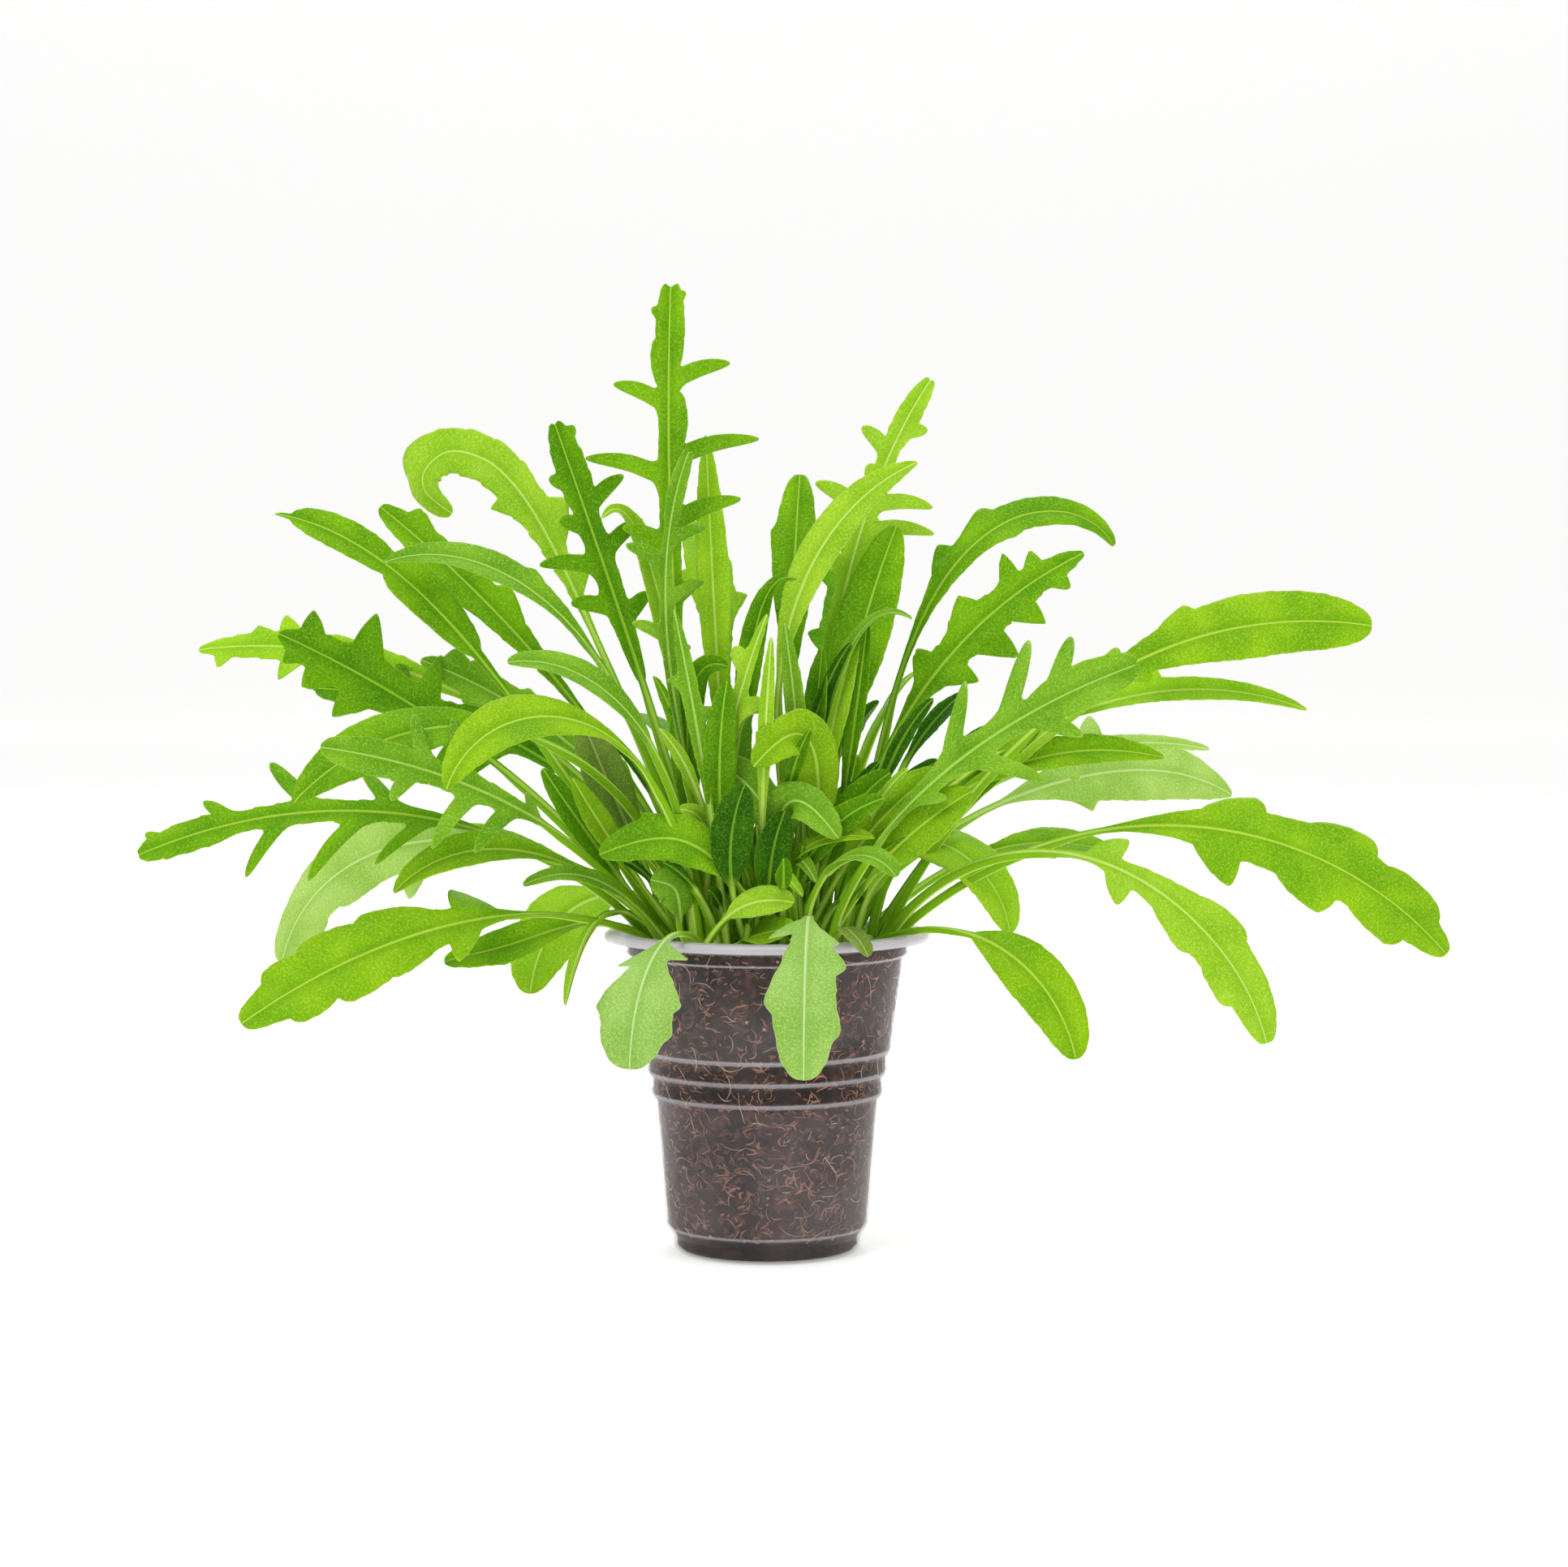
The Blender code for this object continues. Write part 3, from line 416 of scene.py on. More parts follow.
# Small leaves with a place of their own, and the plain fillers between them: the bare stalk's share of their
# length, and rows of faces as a share of a large leaf's.
SMALL_STALK, SMALL_DETAIL = 0.4, 0.75
FILLER_STALK, FILLER_DETAIL = 0.62, 0.55
GOLDEN_ANGLE = 2.39996  # radians; turns by this angle never line up
FILLER_RING = 24.0


def smoothstep(low, high, value):
    """0 at low, 1 at high, smooth between."""
    share = np.clip((value - low) / (high - low), 0, 1)
    return share * share * (3 - 2 * share)


def unit(rows):
    """Each row at length 1."""
    return rows / np.maximum(np.linalg.norm(rows, axis=1, keepdims=True), 1e-12)


def smooth_through(knots, values, at):
    """A smooth curve through the values at the knots, read at these places."""
    slopes = np.gradient(values, knots, axis=0)
    i = np.clip(np.searchsorted(knots, at) - 1, 0, len(knots) - 2)
    step = (knots[i + 1] - knots[i])[:, None]
    u = (at - knots[i])[:, None] / step
    return ((2 * u**3 - 3 * u**2 + 1) * values[i] + (u**3 - 2 * u**2 + u) * step * slopes[i]
            + (3 * u**2 - 2 * u**3) * values[i + 1] + (u**3 - u**2) * step * slopes[i + 1])


# A CAD leaf's own values: how many of its sections make the bare stalk, and how far up each section's depth,
# from keel to top, its widest line lies, on the stalk and on the blade.
STALK_SECTIONS = 5
STALK_LEVEL, BLADE_LEVEL = 0.633, 0.727


def frame_rings(node):
    """A CAD leaf's cross-sections from stalk to tip, each four corners, and its tip, in millimetres."""
    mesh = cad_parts[node].data
    points = np.empty(len(mesh.vertices) * 3)
    mesh.vertices.foreach_get("co", points)
    points = points.reshape(-1, 3) * 1000
    _, first, index = np.unique(np.round(points / 0.002).astype(np.int64), axis=0, return_index=True,
                                return_inverse=True)
    index = index.reshape(-1)
    near = [set() for _ in first]
    for face in mesh.polygons:
        corners = [index[v] for v in face.vertices]
        for one in corners:
            near[one].update(other for other in corners if other != one)
    for start in range(len(first)):
        if len(near[start]) != 4:
            continue
        rings, seen, last = [], {start}, {start}
        while last := set().union(*(near[v] for v in last)) - seen:
            rings.append(sorted(last))
            seen |= last
        if all(len(ring) == 4 for ring in rings):
            return [points[first[ring]] for ring in rings[::-1]], points[first[start]]
    raise RuntimeError(f"{node} has no clean cross-sections")


def frame_path(node):
    """Along a CAD leaf: length so far, midrib points and up directions, and the bare stalk's share."""
    rings, tip = frame_rings(node)
    middles, ups = [], []
    for k, ring in enumerate(rings):
        pairs = [((0, 1), (2, 3)), ((0, 2), (1, 3)), ((0, 3), (1, 2))]
        wide, deep = max(((a, b) if np.linalg.norm(ring[a[0]] - ring[a[1]])
                          > np.linalg.norm(ring[b[0]] - ring[b[1]]) else (b, a) for a, b in pairs),
                         key=lambda pair: np.linalg.norm(ring[pair[0][0]] - ring[pair[0][1]]))
        top, keel = ring[deep[0]], ring[deep[1]]
        if k == 0:
            centre = (ring[wide[0]] + ring[wide[1]]) / 2
            swap = np.linalg.norm(top - centre) > np.linalg.norm(keel - centre)
        else:
            swap = np.dot(top - keel, ups[-1]) < 0
        if swap:
            top, keel = keel, top
        rise = STALK_LEVEL + (BLADE_LEVEL - STALK_LEVEL) * min(1.0, k / STALK_SECTIONS)
        middles.append(keel + (top - keel) * rise)
        ups.append((top - keel) / np.linalg.norm(top - keel))
    middles.append(tip)
    ups.append(ups[-1])
    middles, ups = np.array(middles), np.array(ups)
    run = np.concatenate([[0], np.cumsum(np.linalg.norm(np.diff(middles, axis=0), axis=1))])
    return run, middles, ups, run[STALK_SECTIONS] / run[-1]


def turned_path(path, turn):
    """The path with its blade turned about the midrib, more and more towards the tip."""
    run, middles, ups, stalk = path
    angle = np.radians(turn) * smoothstep(stalk * 0.6, stalk + 0.25, run / run[-1])[:, None]
    forward = unit(np.gradient(middles, axis=0))
    return run, middles, unit(ups * np.cos(angle) + np.cross(forward, ups) * np.sin(angle)), stalk


def nudged_path(path, move):
    """The path with its tip moved, and less and less of it moved towards the stalk's foot."""
    run, middles, ups, stalk = path
    return run, middles + smoothstep(0.12, 0.8, run / run[-1])[:, None] * np.array(move, float), ups, stalk


def curled_path(path, extra, turn):
    """The path carried on past its tip by this many millimetres, as it curls on by this many degrees."""
    run, middles, ups, stalk = path
    steps = 12
    forward = unit(middles[-1:] - middles[-2:-1])[0]
    axis = unit(np.cross(middles[-2] - middles[-3], forward)[None])[0]
    point, up = middles[-1], ups[-1]
    points, tops = [], []
    for _ in range(steps):
        angle = math.radians(turn) / steps
        forward, up = (v * math.cos(angle) + np.cross(axis, v) * math.sin(angle) for v in (forward, up))
        point = point + forward * extra / steps
        points.append(point)
        tops.append(up)
    middles, ups = np.vstack([middles, points]), np.vstack([ups, tops])
    longer = np.concatenate([run, run[-1] + extra * (np.arange(steps) + 1) / steps])
    return longer, middles, ups, stalk * run[-1] / longer[-1]


def drawn_path(base, bend, tip, face, stalk):
    """A small leaf's path: one bow from base to tip, leaning to bend, its upper side towards face."""
    share = np.linspace(0, 1, 61)[:, None]
    base, bend, tip = (np.array(p, float) for p in (base, bend, tip))
    points = (1 - share) ** 2 * base + 2 * share * (1 - share) * bend + share**2 * tip
    forward = unit(np.gradient(points, axis=0))
    up = np.array(face, float) - forward * (forward @ np.array(face, float))[:, None]
    run = np.concatenate([[0], np.cumsum(np.linalg.norm(np.diff(points, axis=0), axis=1))])
    return run, points, unit(up), stalk


def half_widths(look, length, place, side, phase):
    """How far the blade reaches on one side at each place, how far it would with no lobes, and how much
    each place belongs to which lobe."""
    shape = SHAPES[look.shape]
    inside = np.clip(place, 0, 1)
    part = ((inside - shape.neck) / (1 - shape.neck)).clip(0, 1) ** shape.peak
    swell = np.maximum(0, np.sin(np.pi * part)) ** np.where(part < 0.5, shape.start, shape.end)
    # A narrow wing down to the stalk, the blade's own swell, and a blunt tip.
    plain = 0.75 * (1 - inside) + (look.width / 2 - 0.4) * swell + 0.12
    edge, sag = plain.copy(), np.zeros_like(plain)
    for number, (back, lobe_side, reach, span) in enumerate(look.lobes):
        if lobe_side != side:
            continue
        off = place * length - (length - back)
        t = np.abs(off) / (span * np.where(off > 0, 1 - shape.skew, 1 + shape.skew))
        rise = np.clip(1 - t ** (3.0 - 2 * shape.full), 0, 1) ** shape.full
        rise = np.maximum(rise, 0.10 * np.exp(-np.maximum(t - 1, 0) * 2.5) * (t > 0.9))
        if span >= 10:  # a broad swelling, such as the end of a fingered leaf
            rise = np.clip(1 - t**2.4, 0, 1) ** 0.6
        reached = plain + max(0, reach - float(np.interp(1 - back / length, place, plain))) * rise
        sag = np.where(reached > edge, math.sin(number * 2.3 + phase[0]), sag)
        edge = np.maximum(edge, reached)
    # Small teeth every 5 to 8 mm: a slow rise and a quick fall.
    run = place * length / 6.5 + phase[1] + 0.35 * np.sin(place * length / 9 + phase[2])
    tooth = (run % 1.0) ** 1.6 * smoothstep(1.0, 0.86, run % 1.0)
    edge = edge + look.teeth * 0.5 * tooth * smoothstep(0.08, 0.3, inside) * smoothstep(1.0, 0.9, inside)
    edge = edge + 0.05 * np.sin(place * length * 2.1 + phase[3]) * smoothstep(0.1, 0.3, inside)
    return edge, plain, sag


# Columns of points beside the midrib, in millimetres from it. The others fan out evenly to the margin.
CORE = [0.3, 0.65, 1.05]
WIDE_ENOUGH = 2.2  # where half a blade is narrower than this, its columns are shared out evenly instead


def leaf_grid(path, look, seed, fine=1.0, dip=2.5):
    """Blade and stalk as grids of points, UVs in millimetres, UVs in shares, and thickness. The stalk's foot
    goes on for dip millimetres, down into the soil."""
    run, middles, ups, stalk = path
    chance = np.random.default_rng(seed)
    length = run[-1]
    blade = length * (1 - stalk)
    phase = {LEFT: chance.uniform(0, 6.28, 4), RIGHT: chance.uniform(0, 6.28, 4)}
    # Rows crowd together where the outline runs out to a lobe.
    test = np.linspace(0, 1, 1500)
    steep = np.zeros_like(test)
    for side in (LEFT, RIGHT):
        edge = half_widths(look, blade, test, side, phase[side])[0]
        steep = np.maximum(steep, np.abs(np.gradient(edge, test * blade)))
    crowd = fine / 0.95 * (1 + 1.1 * np.minimum(steep, 4))
    crowd = np.concatenate([[0], np.cumsum((crowd[1:] + crowd[:-1]) / 2 * np.diff(test) * blade)])
    rows = int(min(240, crowd[-1])) + 6
    at_blade = np.interp(np.linspace(0, crowd[-1], rows), crowd, test)
    rows_stalk = int(min(30, length * stalk / 2.2 * fine)) + 4
    at = np.concatenate([np.linspace(-dip, length * stalk, rows_stalk, endpoint=False),
                         length * stalk + blade * at_blade])
    inside = np.clip(at, 0, length)
    centre = smooth_through(run, middles, inside)
    start = unit((middles[1] - middles[0])[None])[0]
    sink = unit((start * 0.45 + np.array([0, 0, 0.9]))[None])
    centre = centre + np.minimum(at, 0)[:, None] * sink
    up = unit(np.stack([np.interp(inside, run, ups[:, k]) for k in range(3)], axis=1))
    forward = unit(np.gradient(centre, at, axis=0))
    right = unit(np.cross(forward, up))
    # The blade rocks a little about its midrib.
    place = (at - length * stalk) / blade
    rock = np.radians(chance.uniform(-7, 7)) * np.sin(place.clip(0) * 3.0 + chance.uniform(0, 3))
    right = right * np.cos(rock)[:, None] + up * np.sin(rock)[:, None]
    up = unit(np.cross(right, forward))
    stalk_mask = 1 - smoothstep(-0.10, 0.03, place)
    blade_mask = 1 - stalk_mask
    stalk_half = (0.62 + 0.3 * smoothstep(40, 120, length)
                  + 0.35 * smoothstep(0.0, -1.0, place) + 0.3 * smoothstep(4, -dip, at))
    longest = max([look.width / 2] + [reach for _, _, reach, _ in look.lobes])
    fan = int(np.clip(longest / 1.5 * fine, 5, 10))
    shape = SHAPES[look.shape]
    ripple = chance.uniform(0, 6.28, 4)
    sagging = chance.uniform(0.05, 0.2)
    points, mm_uv, share_uv, thick = [], [], [], []
    for side, order in ((LEFT, range(len(CORE) + fan, 0, -1)), (RIGHT, range(0, len(CORE) + fan + 1))):
        edge, plain, sag = half_widths(look, blade, place, side, phase[side])
        half = edge * blade_mask + stalk_half * stalk_mask
        plain = plain * blade_mask + stalk_half * stalk_mask
        for k in order:
            small = half * k / (len(CORE) + 1)
            if k <= len(CORE):
                reach = np.where(half > WIDE_ENOUGH, ([0.0] + CORE)[k], small)
            else:
                inner = np.where(half > WIDE_ENOUGH, CORE[-1], half * len(CORE) / (len(CORE) + 1))
                reach = inner + (half - inner) * (k - len(CORE)) / fan
            beyond = np.maximum(0, reach - plain)
            ahead = shape.sweep * shape.hook * (1 - np.exp(-beyond / shape.hook))
            sway = np.sin(at / 7.6 + ripple[0 if side == LEFT else 1])
            sway = sway + 0.5 * np.sin(at / 4.3 + ripple[2 if side == LEFT else 3])
            share = reach / np.maximum(half, 0.1)
            # Each half folds up and bows down again, waves towards its margin, sags in its lobes, and is
            # quilted between the side veins; a groove runs along the midrib.
            lift = look.fold * reach * 1.3 - 0.010 * reach**2
            lift = lift + look.wave * 0.6 * sway * share**2 * smoothstep(1.5, 6, half)
            lift = lift + sagging * sag * beyond - 0.012 * beyond**2
            quilt = np.abs(np.sin(np.pi * (at - reach * 0.9) / 7.0 + ripple[2]))
            lift = lift + 0.16 * quilt * smoothstep(0.5, 2.5, reach) * (1 - share**3)
            groove = -0.14 * np.exp(-((reach / 0.45) ** 2)) * (1 - 0.6 * place.clip(0, 1))
            lift = lift * blade_mask + groove
            points.append(centre + right * (-side * reach)[:, None] + up * lift[:, None]
                          + forward * (ahead * blade_mask)[:, None])
            keel = 1.1 * (1 - 0.8 * place.clip(0, 1)) * np.exp(-((reach / 0.7) ** 2))
            keel = keel * smoothstep(0, 1.5, half)
            skin = (0.32 - 0.17 * share) * (1 - 0.3 * place.clip(0, 1))
            round_stalk = (0.3 + 1.5 * np.sqrt(np.maximum(0, 1 - (share * 0.97) ** 2))) * stalk_half
            thick.append((skin + keel) * blade_mask + round_stalk * stalk_mask)
            # The two halves and each leaf read the pattern at places of their own.
            mm_uv.append(np.stack([reach, at + (0 if side == RIGHT else 40) + 97 * (seed % 50)], axis=1))
            share_uv.append(np.stack([share, place.clip(-1, 1)], axis=1))
    return [np.stack(group, axis=1) for group in (points, mm_uv, share_uv, thick)]


def deselect():
    """Object mode, with nothing selected."""
    if bpy.context.object and bpy.context.object.mode != "OBJECT":
        bpy.ops.object.mode_set(mode="OBJECT")
    bpy.ops.object.select_all(action="DESELECT")


def apply_modifiers(obj):
    deselect()
    bpy.context.view_layer.objects.active = obj
    obj.select_set(True)
    for modifier in list(obj.modifiers):
        bpy.ops.object.modifier_apply(modifier=modifier.name)


def grid_object(name, points, mm_uv, share_uv, thick):
    """A closed leaf: a grid laid over the points, then given its wall, which is thick under the midrib."""
    rows, columns = points.shape[:2]
    deselect()
    bpy.ops.mesh.primitive_grid_add(x_subdivisions=columns - 1, y_subdivisions=rows - 1, size=2)
    obj = bpy.context.object
    obj.name = obj.data.name = name
    mesh = obj.data
    seat = np.empty(len(mesh.vertices) * 3)
    mesh.vertices.foreach_get("co", seat)
    seat = seat.reshape(-1, 3)
    i = np.rint((seat[:, 0] + 1) / 2 * (columns - 1)).astype(int)
    j = np.rint((seat[:, 1] + 1) / 2 * (rows - 1)).astype(int)
    mesh.vertices.foreach_set("co", (points[j, i] * MM).ravel())
    corner = np.empty(len(mesh.loops), dtype=np.int32)
    mesh.loops.foreach_get("vertex_index", corner)
    mesh.uv_layers[0].name = "Blade"
    mesh.uv_layers.new(name="Share")
    for layer, values in (("Blade", mm_uv), ("Share", share_uv)):
        mesh.uv_layers[layer].data.foreach_set("uv", values[j, i][corner].ravel())
    most = float(thick.max())
    group = obj.vertex_groups.new(name="thickness")
    share = np.round(thick[j, i] / most, 2)
    for level in np.unique(share):
        group.add(np.flatnonzero(share == level).tolist(), float(level), "REPLACE")
    wall = obj.modifiers.new("wall", "SOLIDIFY")
    wall.thickness, wall.offset = most * MM, -1
    wall.vertex_group, wall.thickness_vertex_group = "thickness", 0.0
    wall.material_offset = 1
    apply_modifiers(obj)
    bpy.ops.object.shade_smooth()
    return obj


def join(objects, name):
    """Several pieces as one, under this name."""
    deselect()
    for obj in objects:
        obj.select_set(True)
    bpy.context.view_layer.objects.active = objects[0]
    bpy.ops.object.join()
    objects[0].name = objects[0].data.name = name
    return objects[0]


# ---------------------------------------------------------------- crowns and cup shapes

def spun(name, profile, steps):
    """A profile of (radius, height) points spun round the cup's axis and closed at its poles."""
    deselect()
    mesh = bpy.data.meshes.new(name)
    lines = [(i, i + 1) for i in range(len(profile) - 1)]
    mesh.from_pydata([(r * MM, 0, z * MM) for r, z in profile], lines, [])
    obj = bpy.data.objects.new(name, mesh)
    bpy.context.scene.collection.objects.link(obj)
    bpy.context.view_layer.objects.active = obj
    obj.select_set(True)
    bpy.ops.object.mode_set(mode="EDIT")
    bpy.ops.mesh.select_all(action="SELECT")
    bpy.ops.mesh.spin(steps=steps, angle=2 * math.pi, center=(0, 0, 0), axis=(0, 0, 1))
    bpy.ops.mesh.select_all(action="SELECT")
    bpy.ops.mesh.remove_doubles(threshold=0.000005)
    bpy.ops.mesh.normals_make_consistent(inside=False)
    bpy.ops.object.mode_set(mode="OBJECT")
    bpy.ops.object.shade_smooth_by_angle(angle=math.radians(40))
    return obj


def rounded(points, radius, steps=4):
    """The polyline with each inner corner turned into a small curve."""
    made = [np.array(points[0], float)]
    for before, corner, after in zip(points, points[1:], points[2:]):
        before, corner, after = (np.array(p, float) for p in (before, corner, after))
        a, b = before - corner, after - corner
        la, lb = np.linalg.norm(a), np.linalg.norm(b)
        r = min(radius, la * 0.45, lb * 0.45)
        p, q = corner + a / la * r, corner + b / lb * r
        for t in np.linspace(0, 1, steps + 1):
            made.append((1 - t) ** 2 * p + 2 * t * (1 - t) * corner + t**2 * q)
    made.append(np.array(points[-1], float))
    return [tuple(p) for p in made]


# The cup's sizes as the frame has them, each radius a step in from the one above it, in millimetres.
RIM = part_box("cup")[1].x * 1000
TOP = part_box("cup")[1].z * 1000
RIM_LEDGE, BAND_INSET, BODY_TAPER, FOOT_INSET = 4.9, 6.6875, 2.625, 1.6875
COLLAR = RIM - RIM_LEDGE
BAND = COLLAR - BAND_INSET
BODY = BAND - BODY_TAPER
FOOT = BODY - FOOT_INSET
FOOT_HEIGHT, FOOT_STEP = 3.6, 2.3
BAND_BOTTOM, BAND_RISE, BAND_PITCH, BAND_STEP, BAND_COUNT = 35.4, 1.1, 5.0, 0.95, 3
COLLAR_HEIGHT = 5.0
SOIL_BELOW_RIM, SOIL_MOUND, SOIL_INSET = 3.4, 0.9, 0.9
SOIL_LEVEL = TOP - SOIL_BELOW_RIM
WALL = 0.45


def wall_points():
    """The cup's outer wall from the foot up to the collar, as it is in the frame."""
    knee = FOOT_HEIGHT + FOOT_STEP
    points = [(FOOT - 1.2, 0.0), (FOOT, 1.2), (FOOT + 0.1, FOOT_HEIGHT), (BODY - 0.3, knee - 0.3),
              (BODY + 0.05, knee + 0.4), (BAND - 0.05, BAND_BOTTOM - 0.2)]
    for k in range(BAND_COUNT):
        radius, height = BAND + (k + 1) * BAND_STEP, BAND_BOTTOM + BAND_RISE + k * BAND_PITCH
        points.append((radius - 0.05, height - 0.15))
        points.append((radius + 0.02, height + 0.4))
        if k < BAND_COUNT - 1:
            points.append((radius + 0.05, height + BAND_PITCH - 1.3))
    collar = TOP - COLLAR_HEIGHT
    points += [(COLLAR - 0.85, collar - 0.9), (COLLAR - 0.1, collar - 0.2), (COLLAR, collar + 0.4),
               (COLLAR, TOP - 0.6)]
    return points


def inner_points(gap):
    """The wall's points moved in by gap, from the floor up."""
    wall = wall_points()
    return [(wall[0][0] - gap * 0.4, gap), (wall[1][0] - gap, wall[1][1] + gap * 0.4)] + [
        (r - gap, z) for r, z in wall[2:]]


def wall_radius(height, gap):
    """How far from the axis something at this height lies, this gap inside the wall's outer face."""
    inner = inner_points(gap)
    return np.interp(height, [z for _, z in inner], [r for r, _ in inner])


def soil_height(radius):
    """Height of the gently mounded soil at this distance from the cup's axis."""
    return SOIL_LEVEL + SOIL_MOUND * (1 - (radius / (COLLAR - SOIL_INSET)) ** 2)


# ---------------------------------------------------------------- finishes of cup, soil and stage

def plastic_finish(settings):
    """Thermoformed polypropylene, half a millimetre thick: clear but milky, so that what touches it inside
    shows and what stands off greys out. It looks whiter where the eye meets it at a slant, and each step
    of its wall has a thin pale line, partly its thicker plastic there and partly painted highlight. Each
    share of opacity here is for one of the wall's two faces."""
    made, tree, shader = new_material("thermoformed_polypropylene", IOR=1.49, Roughness=0.22)
    place = add(tree, "TexCoord").node.outputs["Object"]
    tall = add(tree, "SeparateXYZ", Vector=place).node.outputs["Z"]  # in metres
    # Haze in patches 25 mm across, where the soil has come off the wall; streaks of 4 mm inside them.
    patches = add(tree, "TexNoise", Vector=place, Scale=1000 / 25, Detail=2.5, Roughness=0.55)
    streaks = add(tree, "TexNoise", Vector=place, Scale=1000 / 4, Detail=3.0, Roughness=0.6)
    haze = add(tree, "Math", TIMES, add(tree, "MapRange", SMOOTH, patches, 0.38, 0.68), 0.05)
    body = add(tree, "MapRange", SMOOTH, tall, 0.0372, 0.0340)
    haze = add(tree, "Math", PLUS, haze, add(tree, "Math", TIMES, body, 0.035))
    haze = add(tree, "Math", PLUS, haze, add(tree, "Math", TIMES, streaks, 0.03))
    haze = add(tree, "Math", PLUS, haze, settings.haze)
    # The stepped bands and the foot stay clearer, and the wall is whiter at a slant.
    bands = add(tree, "Math", TIMES, add(tree, "MapRange", SMOOTH, tall, 0.0350, 0.0360),
                add(tree, "MapRange", SMOOTH, tall, 0.0475, 0.0465))
    foot = add(tree, "MapRange", SMOOTH, tall, 0.0056, 0.0050)
    clear = add(tree, "Math", TIMES, add(tree, "Math", LARGER, bands, foot), 0.55)
    haze = add(tree, "Math", TIMES, haze, add(tree, "Math", MINUS, 1.0, clear))
    slant = add(tree, "LayerWeight", Blend=0.5).node.outputs["Facing"]
    slant = add(tree, "Math", TIMES, add(tree, "Math", {"operation": "POWER"}, slant, 3.2), 0.36)
    haze = add(tree, "Math", PLUS, haze, slant)
    # Light lines, partly the plastic thickened at each step and partly painted highlight: height and half
    # width in millimetres, and opacity. Each step of the bands has a wide line with a thin, brighter one over
    # it.
    steps = [(46.7, 0.8, 0.30), (41.7, 0.8, 0.27), (36.7, 0.8, 0.27), (46.9, 0.3, 0.36), (41.9, 0.3, 0.34),
             (36.9, 0.3, 0.34), (6.0, 0.5, 0.24), (TOP - 5.3, 0.4, 0.30)]
    lines = 0.0
    for height, half, much in steps:
        off = add(tree, "Math", {"operation": "ABSOLUTE"}, add(tree, "Math", MINUS, tall, height * MM))
        line = add(tree, "Math", TIMES, add(tree, "MapRange", SMOOTH, off, half * MM, half * 0.2 * MM), much)
        lines = add(tree, "Math", LARGER, lines, line)
    haze = add(tree, "Math", PLUS, haze, lines)
    rim = add(tree, "MapRange", SMOOTH, tall, TOP * MM - 0.0030, TOP * MM - 0.0022)
    haze = add(tree, "Math", LARGER, haze, add(tree, "Math", TIMES, rim, 0.66))
    tree.links.new(add(tree, "Math", {"operation": "MINIMUM"}, haze, 0.9), shader.inputs["Alpha"])
    # The rim and the light lines are paler; on the lines this is partly painted highlight.
    pale = add(tree, "Math", LARGER, rim, add(tree, "Math", TIMES, lines, 2.0))
    colour = add(tree, "Mix", COLOURS, pale, (*settings.tint, 1.0), "#cdc7cf")
    tree.links.new(colour, shader.inputs["Base Color"])
    fine = add(tree, "TexNoise", Vector=place, Scale=1000 / 1.2, Detail=2.0)
    tree.links.new(add(tree, "Bump", Strength=0.12, Distance=0.0002, Height=fine), shader.inputs["Normal"])
    return made


def fibre_lines(tree, place, size, offset):
    """Thin winding lines about this many millimetres apart, broken up by a second noise."""
    moved = add(tree, "Mapping", Vector=place, Location=offset)
    field = add(tree, "TexNoise", Vector=moved, Scale=1000 / size, Detail=1.0, Roughness=0.4, Distortion=0.6)
    far = add(tree, "Math", {"operation": "ABSOLUTE"}, add(tree, "Math", MINUS, field, 0.5))
    breaks = add(tree, "TexNoise", Vector=moved, Scale=1400 / size, Detail=1.0)
    return add(tree, "Math", TIMES, add(tree, "MapRange", SMOOTH, far, 0.014, 0.0),
               add(tree, "MapRange", SMOOTH, breaks, 0.50, 0.58))


